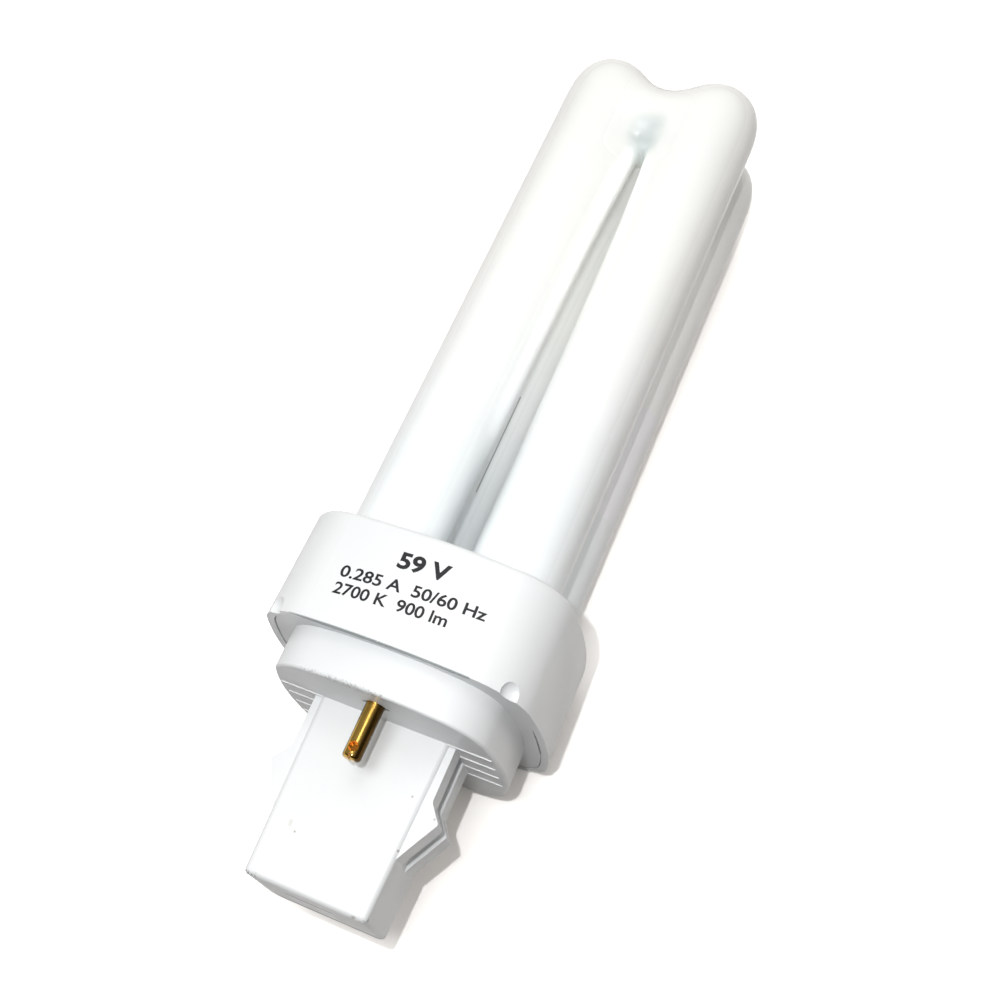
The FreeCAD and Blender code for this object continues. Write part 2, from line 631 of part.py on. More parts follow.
def build_pin(name, y_name, turn):
    """Tubular brass pin: shoulder on the boss, bore, crimp hole and a closed tip with a slot."""
    body = new_body(name, "0", y_name, turn)
    profile = new_sketch(body, name + "_profile", "XZ_Plane")
    draw_polygon(profile, [
        ("pin_bore", "pin_top"), ("pin_bore", "-pin_throat"), ("wire_radius", "-pin_throat"),
        ("wire_radius", "-pin_length"), ("pin_radius", "-pin_length"), ("pin_radius", "0"),
        ("pin_root_radius", "0"), ("pin_root_radius", "boss_top"),
        ("pin_shoulder_radius", "boss_top"), ("pin_shoulder_radius", "pin_top")])
    low, high = FreeCAD.Vector(0, -value("pin_length"), 0), FreeCAD.Vector(0, value("pin_top"), 0)
    axis = profile.addGeometry(Part.LineSegment(low, high), True)
    fix_point(profile, axis, 1, "0", "-pin_length")
    fix_point(profile, axis, 2, "0", "pin_top")
    spin(body, profile, name + "_tube")
    tip, radius = -value("pin_length"), value("pin_radius")
    round_edges(
        body, name + "_tip", "pin_tip_round", lambda box: near(box.ZMax, tip) and near(box.XMax, radius))
    crimp = new_sketch(body, name + "_crimp_circle", "XZ_Plane", "pin_radius")
    draw_circle(crimp, "pin_crimp_radius", "0", "-pin_crimp_z")
    cut_pocket(body, crimp, name + "_crimp", "pin_crimp_depth")
    slot = new_sketch(body, name + "_slot_outline", "XZ_Plane", "pin_radius")
    draw_box(slot, "-pin_slot_half", "pin_slot_half", "-pin_length", "-pin_slot_z")
    cut_pocket(body, slot, name + "_slot", "pin_width")
    return body


def build_bead(name, x_name, y_name):
    """Ring of cement round a leg, under the collar's plate."""
    body = new_body(name, x_name, y_name)
    profile = new_sketch(body, name + "_profile", "XZ_Plane")
    draw_polygon(profile, [
        ("tube_radius", "bead_foot"), ("bead_lip_radius", "bead_foot"),
        ("bead_radius", "plate_foot"), ("tube_radius", "plate_foot")])
    low, high = FreeCAD.Vector(0, value("bead_foot"), 0), FreeCAD.Vector(0, value("plate_foot"), 0)
    axis = profile.addGeometry(Part.LineSegment(low, high), True)
    fix_point(profile, axis, 1, "0", "bead_foot")
    fix_point(profile, axis, 2, "0", "plate_foot")
    spin(body, profile, name + "_ring")
    return body


def build_ferrule(name, y_name):
    """Crimped ferrule that joins three wires above the key."""
    body = new_body(name, "0", y_name)
    outline = new_sketch(body, name + "_circle", "XY_Plane", "ferrule_foot")
    draw_circle(outline, "ferrule_radius")
    raise_pad(body, outline, name + "_barrel", "ferrule_length")
    top, foot = value("ferrule_top"), value("ferrule_foot")
    round_edges(
        body, name + "_ends", "ferrule_round",
        lambda box: near(box.ZMax, foot) or near(box.ZMin, top))
    return body


def build_starter_bulb():
    """Small glass glow starter, standing on the key's end wall."""
    body = new_body("starter_bulb", "-bulb_offset", "key_mid_y")
    outline = new_sketch(body, "bulb_circle", "XY_Plane", "-cavity_floor")
    draw_circle(outline, "bulb_radius")
    raise_pad(body, outline, "bulb_wall", "bulb_wall_length")
    foot, top = -value("cavity_floor"), value("bulb_shoulder")
    round_edges(body, "bulb_foot_blend", "bulb_foot_round", lambda box: near(box.ZMax, foot))
    round_edges(body, "bulb_shoulder_blend", "bulb_shoulder_round", lambda box: near(box.ZMin, top))
    neck = new_sketch(body, "bulb_neck_outline", "XY_Plane", "bulb_shoulder")
    draw_box(neck, "-bulb_neck_half_x", "bulb_neck_half_x", "-bulb_neck_half_y", "bulb_neck_half_y")
    raise_pad(body, neck, "bulb_pinch", "bulb_neck_length")
    return body


def build_capacitor():
    """Film capacitor, standing on the key's end wall."""
    body = new_body("starter_capacitor", "capacitor_offset", "key_mid_y")
    outline = new_sketch(body, "capacitor_outline", "XY_Plane", "-cavity_floor")
    draw_box(outline, "-capacitor_half_x", "capacitor_half_x", "-capacitor_half_y", "capacitor_half_y")
    raise_pad(body, outline, "capacitor_block", "capacitor_length")
    round_edges(body, "capacitor_blend", "capacitor_round", lambda box: box.ZLength > 1)
    return body


def build_wire(name, top, bottom, low_straight="wire_straight"):
    """A wire that leaves one point downwards, crosses over between two equal bends and ends downwards."""
    (top_x, top_y, top_z), (end_x, end_y, end_z) = top, bottom
    add_cells([
        (name + "_span", f"=sqrt((({end_x}) - ({top_x})) ^ 2 + (({end_y}) - ({top_y})) ^ 2)"),
        (name + "_low", f"=({end_z}) + {low_straight}"),
        (name + "_high", f"=({top_z}) - wire_straight"),
    ])
    turn = math.degrees(math.atan2(value(end_y) - value(top_y), value(end_x) - value(top_x)))
    body = new_body(name, top_x, top_y, turn)
    section = new_sketch(body, name + "_section", "XY_Plane", top_z)
    draw_circle(section, "wire_radius")
    route = new_sketch(body, name + "_route", "XZ_Plane")
    radius, reach = value("wire_bend"), value(name + "_span")
    high, low = value(name + "_high"), value(name + "_low")
    across, fall = reach - 2 * radius, high - low
    slope = math.sqrt(across ** 2 + fall ** 2 - 4 * radius ** 2)
    heading = math.atan2(across, fall) + math.atan2(2 * radius, slope)
    first_end = FreeCAD.Vector(radius * (1 - math.cos(heading)), high - radius * math.sin(heading), 0)
    second_start = first_end + FreeCAD.Vector(slope * math.sin(heading), -slope * math.cos(heading), 0)
    start, leaving = FreeCAD.Vector(0, value(top_z), 0), FreeCAD.Vector(0, high, 0)
    arriving, end = FreeCAD.Vector(reach, low, 0), FreeCAD.Vector(reach, value(end_z), 0)
    route.addGeometry(Part.LineSegment(start, leaving), False)
    draw_arc(route, radius, high, radius, math.pi, math.pi + heading)
    route.addGeometry(Part.LineSegment(first_end, second_start), False)
    draw_arc(route, reach - radius, low, radius, 0, heading)
    route.addGeometry(Part.LineSegment(arriving, end), False)
    for ends in ((0, 2, 1, 1), (1, 2, 2, 1), (2, 2, 3, 2), (3, 1, 4, 1)):
        route.addConstraint(Sketcher.Constraint("Tangent", *ends))
    route.addConstraint(Sketcher.Constraint("Equal", 1, 3))
    size_constraint(route, "Radius", (1,), "wire_bend")
    fix_point(route, 0, 1, "0", top_z)
    fix_point(route, 0, 2, "0", name + "_high")
    fix_point(route, 4, 1, name + "_span", name + "_low")
    fix_point(route, 4, 2, name + "_span", end_z)
    doc.recompute()
    wire = body.newObject("PartDesign::AdditivePipe", name + "_wire")
    wire.Profile = section
    wire.Spine = route
    doc.recompute()
    return body


def build_wiring():
    """Wires from the electrodes, the starter and the capacitor to the pins and the ferrules."""
    pieces = []
    for number, sign, place in ((1, "-", "front"), (2, "", "back")):
        leg_y, pin_y = sign + "tube_offset_y", sign + "pin_offset"
        ferrule_y = f"ferrule_{place}_y"
        pieces += [
            build_wire(
                f"electrode_lead_{2 * number - 1}", ("lead_inner_x", leg_y, "tube_foot"),
                ("0", pin_y, "-wire_end_in_pin"), "pin_lead_straight"),
            build_wire(
                f"electrode_lead_{2 * number}", ("lead_outer_x", leg_y, "tube_foot"),
                ("0", ferrule_y, "ferrule_top")),
            build_wire(
                f"starter_lead_{number}", ("-ferrule_wire_spread", ferrule_y, "ferrule_foot"),
                ("-bulb_offset", f"bulb_{place}_wire_y", "bulb_top")),
            build_wire(
                f"capacitor_lead_{number}", ("ferrule_wire_spread", ferrule_y, "ferrule_foot"),
                ("capacitor_offset", f"capacitor_{place}_wire_y", "capacitor_top")),
            build_ferrule(f"splice_ferrule_{number}", ferrule_y),
        ]
    return pieces


def build_lamp():
    """All pieces of the lamp."""
    pieces = [build_discharge_tube(), build_collar(), build_base_cap()]
    pieces += [
        build_pin("contact_pin_front", "-pin_offset", 0),
        build_pin("contact_pin_back", "pin_offset", 180),
        build_starter_bulb(),
        build_capacitor(),
    ]
    number = 0
    for y_name in ("-tube_offset_y", "tube_offset_y"):
        for x_name in ("-tube_offset_x", "tube_offset_x"):
            number += 1
            pieces.append(build_bead(f"cement_bead_{number}", x_name, y_name))
    return pieces + build_wiring()


def write_steps(pieces):
    """Checks every object and writes one STEP file for each piece."""
    doc.recompute()
    for item in doc.Objects:
        if "Invalid" in item.State or "Error" in item.State:
            raise RuntimeError(f"{item.Name} is {item.State}")
    for body in pieces:
        shape = body.Shape
        if shape.isNull() or not shape.isValid() or len(shape.Solids) != 1:
            raise RuntimeError(f"{body.Label} isn't one valid solid")
        shape.exportStep(f"parts/{body.Label}.step")
        print(f"{body.Label}: {shape.Volume:.2f} mm3")


fill_sheet()
write_steps(build_lamp())
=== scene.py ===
"""Dresses a 13 W two-pin compact fluorescent lamp.

The lamp has coated glass twin tubes, a moulded collar and cap, and brass pins.
Lengths are written in millimetres and turned to metres where a mesh or a texture is made.
The row frame has X across the lamp, +Y towards the tube tips and +Z towards the printed side.
"""

import logging
import math
from collections.abc import Callable
from dataclasses import dataclass
from enum import Enum

import bmesh
import bpy
from mathutils import Matrix, Vector
from mathutils.bvhtree import BVHTree


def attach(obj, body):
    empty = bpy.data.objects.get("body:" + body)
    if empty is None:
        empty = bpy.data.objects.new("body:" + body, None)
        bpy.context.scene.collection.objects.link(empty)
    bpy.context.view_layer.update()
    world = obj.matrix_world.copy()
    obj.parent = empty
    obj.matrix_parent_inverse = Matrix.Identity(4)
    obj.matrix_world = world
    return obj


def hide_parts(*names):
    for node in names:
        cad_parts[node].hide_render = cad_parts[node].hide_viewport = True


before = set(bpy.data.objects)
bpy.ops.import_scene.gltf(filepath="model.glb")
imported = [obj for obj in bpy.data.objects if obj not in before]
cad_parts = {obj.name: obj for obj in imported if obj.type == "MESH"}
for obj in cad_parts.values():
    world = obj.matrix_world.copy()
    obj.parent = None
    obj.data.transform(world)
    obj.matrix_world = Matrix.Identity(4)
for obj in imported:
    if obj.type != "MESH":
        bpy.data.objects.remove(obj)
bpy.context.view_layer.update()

LOG = logging.getLogger("lamp")
MM = 0.001
ROW_SHIFT = 39.975  # from the cap's underside to the middle of the lamp's length
CENTRE_Z = 18.7  # height of the lamp's own axis above the floor
WELD = 0.001  # millimetres within which two vertices become one

Point = tuple[float, float, float]
Colour = tuple[float, float, float, float]
Tree = bpy.types.NodeTree
Socket = bpy.types.NodeSocket


def linear(code: str) -> Colour:
    """Turns an sRGB hex colour to linear light.

    Args:
        code: Six hex digits, such as "f2f4f3".

    Returns:
        Red, green, blue and an alpha of 1.
    """
    channels = [int(code[i:i + 2], 16) / 255 for i in (0, 2, 4)]
    # The sRGB curve, which is straight near black.
    light = [c / 12.92 if c <= 0.04045 else ((c + 0.055) / 1.055) ** 2.4 for c in channels]
    return (*light, 1.0)


def per_metre(size: float) -> float:
    """Texture scale at which one feature is about size millimetres."""
    return 1000.0 / size


def add_node(
        tree: Tree, kind: str, inputs: dict[str | int, object] | None = None,
        **settings: object) -> bpy.types.Node:
    """Adds a node with its settings and links.

    Args:
        tree: Node tree of the material.
        kind: Blender's name for the node type.
        inputs: Socket name or number, with a value or with the output that feeds it.
        settings: Properties of the node itself.

    Returns:
        The new node.
    """
    node = tree.nodes.new(kind)
    for name, setting in settings.items():
        setattr(node, name, setting)
    for name, source in (inputs or {}).items():
        if isinstance(source, Socket):
            tree.links.new(source, node.inputs[name])
        else:
            node.inputs[name].default_value = source
    return node


def blank_material(name: str) -> bpy.types.Material:
    """Makes a material with an empty node tree.

    Args:
        name: Name of the material.

    Returns:
        The new material.
    """
    material = bpy.data.materials.new(name)
    material.use_nodes = True
    material.node_tree.nodes.clear()
    return material


def soft_box_mask(tree: Tree, place: Socket, low: Point, high: Point, soft: float) -> Socket:
    """Makes a mask that is 1 inside a box of the row frame and falls to 0 over a soft border.

    Args:
        tree: Node tree of the material.
        place: Object coordinates.
        low: Lowest corner in millimetres.
        high: Highest corner in millimetres.
        soft: Width of the border in millimetres.

    Returns:
        The mask's output.
    """
    middle = [(a + b) / 2 * MM for a, b in zip(low, high)]
    half = [(b - a) / 2 * MM for a, b in zip(low, high)]
    moved = add_node(tree, "ShaderNodeVectorMath", {0: place, 1: middle}, operation="SUBTRACT")
    size = add_node(tree, "ShaderNodeVectorMath", {0: moved.outputs[0]}, operation="ABSOLUTE")
    beyond = add_node(
        tree, "ShaderNodeVectorMath", {0: size.outputs[0], 1: half}, operation="SUBTRACT")
    outside = add_node(
        tree, "ShaderNodeVectorMath", {0: beyond.outputs[0], 1: (0, 0, 0)}, operation="MAXIMUM")
    away = add_node(tree, "ShaderNodeVectorMath", {0: outside.outputs[0]}, operation="LENGTH")
    fade = add_node(tree, "ShaderNodeMapRange", {
        "Value": away.outputs["Value"], "From Min": 0.0, "From Max": soft * MM,
        "To Min": 1.0, "To Max": 0.0})
    return fade.outputs["Result"]


@dataclass(frozen=True)
class StainOrShade:
    """A mark of dirt or wear, or a patch of painted shade: a soft box of the row frame, broken up by
    noise.

    Attributes:
        low: Lowest corner in millimetres.
        high: Highest corner in millimetres.
        soft: Width of the box's soft border in millimetres.
        grain: Size of the noise's features in millimetres.
        cover: How much of the box is marked. At about 1.4 it is all of it.
        colour: The mark's sRGB hex colour.
        wobble: How far the border wanders, in millimetres.
        bare: Noise value up to which nothing is marked, at no cover.
        full: Noise value from which the mark is whole, at no cover.
        gain: How far a cover of 1 lowers those two values.
    """

    low: Point
    high: Point
    soft: float
    grain: float
    cover: float
    colour: str
    wobble: float = 0.0
    bare: float = 0.62
    full: float = 0.70
    gain: float = 0.25

    def paint(self, tree: Tree, place: Socket, under: Socket) -> Socket:
        """Lays the mark over a colour.

        Args:
            tree: Node tree of the material.
            place: Object coordinates.
            under: Colour below the mark.

        Returns:
            The colour with the mark on it.
        """
        noise = add_node(tree, "ShaderNodeTexNoise", {
            "Vector": place, "Scale": per_metre(self.grain), "Detail": 3.0, "Roughness": 0.6})
        drift = add_node(tree, "ShaderNodeVectorMath", {
            0: noise.outputs["Color"], 1: (0.5, 0.5, 0.5)}, operation="SUBTRACT")
        moved = add_node(tree, "ShaderNodeVectorMath", {
            0: drift.outputs[0], 1: (2 * self.wobble * MM,) * 3, 2: place}, operation="MULTIPLY_ADD")
        mask = soft_box_mask(tree, moved.outputs[0], self.low, self.high, self.soft)
        patchy = add_node(tree, "ShaderNodeMapRange", {
            "Value": noise.outputs["Fac"], "From Min": self.bare - self.gain * self.cover,
            "From Max": self.full - self.gain * self.cover, "To Min": 0.0, "To Max": 1.0})
        share = add_node(
            tree, "ShaderNodeMath", {0: mask, 1: patchy.outputs["Result"]}, operation="MULTIPLY")
        mixed = add_node(tree, "ShaderNodeMix", {
            0: share.outputs[0], 6: under, 7: linear(self.colour)}, data_type="RGBA")
        return mixed.outputs[2]


@dataclass(frozen=True)
class MouldedPlastic:
    """White PBT, moulded in a spark-eroded tool.

    To the eye it is satin and faintly mottled, with a fine even grain and shallow sink marks.
    """

    name: str
    colour: str = "e5e7e8"
    shade: str = "dfe2e4"
    roughness: float = 0.38
    glossier: float = 0.04  # how far the roughness falls in the glossiest patches
    duller: float = 0.08  # and how far it rises in the dullest
    mottle: float = 9.0
    grain: float = 0.35  # as coarse as it needs to be to show; the real one is about 0.05 mm
    grain_depth: float = 0.006
    sink: float = 7.0
    sink_depth: float = 0.03
    stains_and_shade: tuple[StainOrShade, ...] = ()

    def build(self) -> bpy.types.Material:
        """Makes the material.

        Returns:
            The plastic's material, with its stains and its painted shade.
        """
        material = blank_material(self.name)
        tree = material.node_tree
        place = add_node(tree, "ShaderNodeTexCoord").outputs["Object"]
        mottle = add_node(tree, "ShaderNodeTexNoise", {
            "Vector": place, "Scale": per_metre(self.mottle), "Detail": 3.0, "Roughness": 0.5})
        base = add_node(tree, "ShaderNodeMix", {
            0: mottle.outputs["Fac"], 6: linear(self.colour), 7: linear(self.shade)},
            data_type="RGBA")
        colour = base.outputs[2]
        for stain_or_shade in self.stains_and_shade:
            colour = stain_or_shade.paint(tree, place, colour)
        fine = add_node(tree, "ShaderNodeTexNoise", {
            "Vector": place, "Scale": per_metre(self.grain), "Detail": 2.0, "Roughness": 0.6})
        broad = add_node(tree, "ShaderNodeTexNoise", {
            "Vector": place, "Scale": per_metre(self.sink), "Detail": 1.0, "Roughness": 0.4})
        waves = add_node(tree, "ShaderNodeBump", {
            "Height": broad.outputs["Fac"], "Strength": 1.0, "Distance": self.sink_depth * MM})
        grain = add_node(tree, "ShaderNodeBump", {
            "Height": fine.outputs["Fac"], "Normal": waves.outputs["Normal"], "Strength": 1.0,
            "Distance": self.grain_depth * MM})
        gloss = add_node(tree, "ShaderNodeMapRange", {
            "Value": mottle.outputs["Fac"], "From Min": 0.3, "From Max": 0.7,
            "To Min": self.roughness - self.glossier, "To Max": self.roughness + self.duller})
        shader = add_node(tree, "ShaderNodeBsdfPrincipled", {
            "Base Color": colour, "Roughness": gloss.outputs["Result"], "IOR": 1.54,
            "Normal": grain.outputs["Normal"]})
        add_node(tree, "ShaderNodeOutputMaterial", {"Surface": shader.outputs[0]})
        return material


@dataclass(frozen=True)
class ClearGlass:
    """Soda-lime glass, drawn to a tube and pressed to its bends while hot.

    To the eye it is clear and faintly green. Slow waves along the tube bend its sharp lights a
    little, and a duller skin blurs them at the bends.
    """

    name: str = "drawn_soda_lime_glass"
    colour: str = "fdfefd"
    roughness: float = 0.03
    pressed: float = 0.3  # roughness where the bend was pressed in its mould
    pressed_low: Point = (-3.0, 46.0, 0.0)
    pressed_high: Point = (3.0, 60.0, 40.0)
    pressed_soft: float = 7.0
    wave: float = 5.0
    wave_depth: float = 0.012
    drawn_out: float = 0.08  # a wave's width as a share of its length

    def build(self) -> bpy.types.Material:
        """Makes the material.

        Returns:
            The glass's material.
        """
        material = blank_material(self.name)
        tree = material.node_tree
        place = add_node(tree, "ShaderNodeTexCoord").outputs["Object"]
        drawn = add_node(
            tree, "ShaderNodeMapping", {"Vector": place, "Scale": (1.0, self.drawn_out, 1.0)})
        ripple = add_node(tree, "ShaderNodeTexNoise", {
            "Vector": drawn.outputs["Vector"], "Scale": per_metre(self.wave), "Detail": 1.0,
            "Roughness": 0.3})
        bump = add_node(tree, "ShaderNodeBump", {
            "Height": ripple.outputs["Fac"], "Strength": 1.0, "Distance": self.wave_depth * MM})
        bend = soft_box_mask(tree, place, self.pressed_low, self.pressed_high, self.pressed_soft)
        dull = add_node(tree, "ShaderNodeMapRange", {
            "Value": bend, "To Min": self.roughness, "To Max": self.pressed},
            interpolation_type="SMOOTHERSTEP")
        shader = add_node(tree, "ShaderNodeBsdfPrincipled", {
            "Base Color": linear(self.colour), "Roughness": dull.outputs["Result"], "IOR": 1.52,
            "Transmission Weight": 1.0, "Normal": bump.outputs["Normal"]})
        add_node(tree, "ShaderNodeOutputMaterial", {"Surface": shader.outputs[0]})
        return material


@dataclass(frozen=True)
class PhosphorCoat:
    """Phosphor powder, washed over the inner wall of the glass and baked on.

    To the eye it is dead matt white, a little cloudy and cooler near the collar. It is so thin
    that light spreads through it, which softens every shade on it.
    """

    name: str = "phosphor_powder_coat"
    colour: str = "fdfefc"
    cloud: str = "f8faf7"
    cool: str = "f1f6f9"
    cool_until: float = -8.0  # along y: up to here the coat has its cooler colour
    cool_gone: float = 24.0  # and from here it has none of it
    clouds: float = 11.0
    powder: float = 0.4  # as coarse as it needs to be to show; the real grains are far finer
    powder_depth: float = 0.003
    seep: float = 0.5  # share of light that spreads through the thin coat and the hollow behind it
    seep_depth: float = 3.0
    seep_tint: Point = (1.0, 1.0, 0.96)
    stains_and_shade: tuple[StainOrShade, ...] = ()

    def build(self) -> bpy.types.Material:
        """Makes the material.

        Returns:
            The coat's material, with its thin and bare places and the painted shade in its bend's
            dent.
        """
        material = blank_material(self.name)
        tree = material.node_tree
        place = add_node(tree, "ShaderNodeTexCoord").outputs["Object"]
        cloud = add_node(tree, "ShaderNodeTexNoise", {
            "Vector": place, "Scale": per_metre(self.clouds), "Detail": 4.0, "Roughness": 0.55})
        base = add_node(tree, "ShaderNodeMix", {
            0: cloud.outputs["Fac"], 6: linear(self.colour), 7: linear(self.cloud)},
            data_type="RGBA")
        along = add_node(tree, "ShaderNodeSeparateXYZ", {"Vector": place})
        near_collar = add_node(tree, "ShaderNodeMapRange", {
            "Value": along.outputs["Y"], "From Min": self.cool_until * MM,
            "From Max": self.cool_gone * MM, "To Min": 1.0, "To Max": 0.0})
        cooled = add_node(tree, "ShaderNodeMix", {
            0: near_collar.outputs["Result"], 6: base.outputs[2], 7: linear(self.cool)},
            data_type="RGBA")
        colour = cooled.outputs[2]
        for stain_or_shade in self.stains_and_shade:
            colour = stain_or_shade.paint(tree, place, colour)
        powder = add_node(tree, "ShaderNodeTexNoise", {
            "Vector": place, "Scale": per_metre(self.powder), "Detail": 2.0, "Roughness": 0.6})
        bump = add_node(tree, "ShaderNodeBump", {
            "Height": powder.outputs["Fac"], "Strength": 1.0, "Distance": self.powder_depth * MM})
        shader = add_node(tree, "ShaderNodeBsdfPrincipled", {
            "Base Color": colour, "Roughness": 0.95, "IOR": 1.4, "Specular IOR Level": 0.2,
            "Subsurface Weight": self.seep, "Subsurface Radius": self.seep_tint,
            "Subsurface Scale": self.seep_depth * MM, "Normal": bump.outputs["Normal"]})
        add_node(tree, "ShaderNodeOutputMaterial", {"Surface": shader.outputs[0]})
        return material


@dataclass(frozen=True)
class DrawnMetal:
    """Drawn metal, such as a brass pin or a copper wire.

    To the eye it mirrors in long streaks, broken by fine lines along its length and by patches
    of darker, duller tarnish.
    """

    name: str
    colour: str
    tarnish: str
    roughness: float = 0.24
    line: float = 0.12  # as coarse as it needs to be to show; a real draw line is far finer
    line_depth: float = 0.004
    patch: float = 1.6
    drawn_out: float = 0.04  # a line's width as a share of its length
    duller: float = 0.12  # how far the roughness rises in the tarnish
    stains_and_shade: tuple[StainOrShade, ...] = ()

    def build(self) -> bpy.types.Material:
        """Makes the material.

        Returns:
            The metal's material, with its stains and any painted shade.
        """
        material = blank_material(self.name)
        tree = material.node_tree
        place = add_node(tree, "ShaderNodeTexCoord").outputs["Object"]
        patches = add_node(tree, "ShaderNodeTexNoise", {
            "Vector": place, "Scale": per_metre(self.patch), "Detail": 4.0, "Roughness": 0.6})
        share = add_node(tree, "ShaderNodeMapRange", {
            "Value": patches.outputs["Fac"], "From Min": 0.45, "From Max": 0.75,
            "To Min": 0.0, "To Max": 1.0})
        base = add_node(tree, "ShaderNodeMix", {
            0: share.outputs["Result"], 6: linear(self.colour), 7: linear(self.tarnish)},
            data_type="RGBA")
        colour = base.outputs[2]
        for stain_or_shade in self.stains_and_shade:
            colour = stain_or_shade.paint(tree, place, colour)
        drawn = add_node(
            tree, "ShaderNodeMapping", {"Vector": place, "Scale": (1.0, self.drawn_out, 1.0)})
        lines = add_node(tree, "ShaderNodeTexNoise", {
            "Vector": drawn.outputs["Vector"], "Scale": per_metre(self.line), "Detail": 1.0})
        bump = add_node(tree, "ShaderNodeBump", {
            "Height": lines.outputs["Fac"], "Strength": 1.0, "Distance": self.line_depth * MM})
        gloss = add_node(tree, "ShaderNodeMapRange", {
            "Value": patches.outputs["Fac"], "From Min": 0.35, "From Max": 0.75,
            "To Min": self.roughness, "To Max": self.roughness + self.duller})
        shader = add_node(tree, "ShaderNodeBsdfPrincipled", {
            "Base Color": colour, "Metallic": 1.0, "Roughness": gloss.outputs["Result"],
            "Normal": bump.outputs["Normal"]})
        add_node(tree, "ShaderNodeOutputMaterial", {"Surface": shader.outputs[0]})
        return material


@dataclass(frozen=True)
class BlotchedFinish:
    """Cast cement, a resin dip, printed ink or the starter bulb's glass.

    To the eye it has one colour, faintly blotched, on a surface that is uneven and, at a low
    roughness, shiny.
    """

    name: str
    colour: str
    blotch: str
    roughness: float = 0.8
    grain: float = 0.5
    depth: float = 0.03

    def build(self) -> bpy.types.Material:
        """Makes the material.

        Returns:
            The finish's material.
        """
        material = blank_material(self.name)
        tree = material.node_tree
        place = add_node(tree, "ShaderNodeTexCoord").outputs["Object"]
        noise = add_node(tree, "ShaderNodeTexNoise", {
            "Vector": place, "Scale": per_metre(self.grain), "Detail": 4.0, "Roughness": 0.6})
        colour = add_node(tree, "ShaderNodeMix", {
            0: noise.outputs["Fac"], 6: linear(self.colour), 7: linear(self.blotch)},
            data_type="RGBA")
        bump = add_node(tree, "ShaderNodeBump", {
            "Height": noise.outputs["Fac"], "Strength": 1.0, "Distance": self.depth * MM})
        shader = add_node(tree, "ShaderNodeBsdfPrincipled", {
            "Base Color": colour.outputs[2], "Roughness": self.roughness,
            "Normal": bump.outputs["Normal"]})
        add_node(tree, "ShaderNodeOutputMaterial", {"Surface": shader.outputs[0]})
        return material


class Slot(Enum):
    """Material slots of the record."""

    GLASS = "coated_glass"
    COLLAR = "collar_plastic"
    CAP = "cap_plastic"
    BRASS = "pin_brass"
    CEMENT = "cement"
    STARTER = "starter_glass"
    CAPACITOR = "capacitor_resin"
    WIRE = "lead_wire"
    FERRULE = "ferrule_metal"


# How the names of the CAD nodes start, each with its slot. The tube's node isn't here, because
# the glass shell takes its place.
NODE_SLOTS = {
    "base_cap": Slot.CAP, "collar": Slot.COLLAR, "contact_pin": Slot.BRASS,
    "starter_lead": Slot.WIRE, "capacitor_lead": Slot.WIRE, "electrode_lead": Slot.WIRE,
    "splice_ferrule": Slot.FERRULE, "cement_bead": Slot.CEMENT,
    "starter_capacitor": Slot.CAPACITOR, "starter_bulb": Slot.STARTER}


def place_piece(
        name: str, bm: bmesh.types.BMesh, finish: bpy.types.Material) -> bpy.types.Object:
    """Makes a piece from a mesh drawn in millimetres of the lamp's own axes.

    Args:
        name: Name of the piece.
        bm: Mesh with x across, y along from the cap's underside and z from the lamp's axis. It is
            moved to the row frame and freed.
        finish: Material of the piece.

    Returns:
        The new object, which rides on the lamp.
    """
    bmesh.ops.translate(bm, verts=bm.verts, vec=(0.0, -ROW_SHIFT, CENTRE_Z))
    bmesh.ops.scale(bm, verts=bm.verts, vec=(MM, MM, MM))
    mesh = bpy.data.meshes.new(name)
    for face in bm.faces:
        face.smooth = True
    bm.to_mesh(mesh)
    bm.free()
    piece = bpy.data.objects.new(name, mesh)
    bpy.context.scene.collection.objects.link(piece)
    mesh.materials.append(finish)
    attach(piece, "root")
    return piece


def dress_node(name: str, finish: bpy.types.Material) -> None:
    """Gives a CAD node its finish.

    Args:
        name: Name of the node.
        finish: Material that takes the place of its own.
    """
    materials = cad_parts[name].data.materials
    materials.clear()
    materials.append(finish)


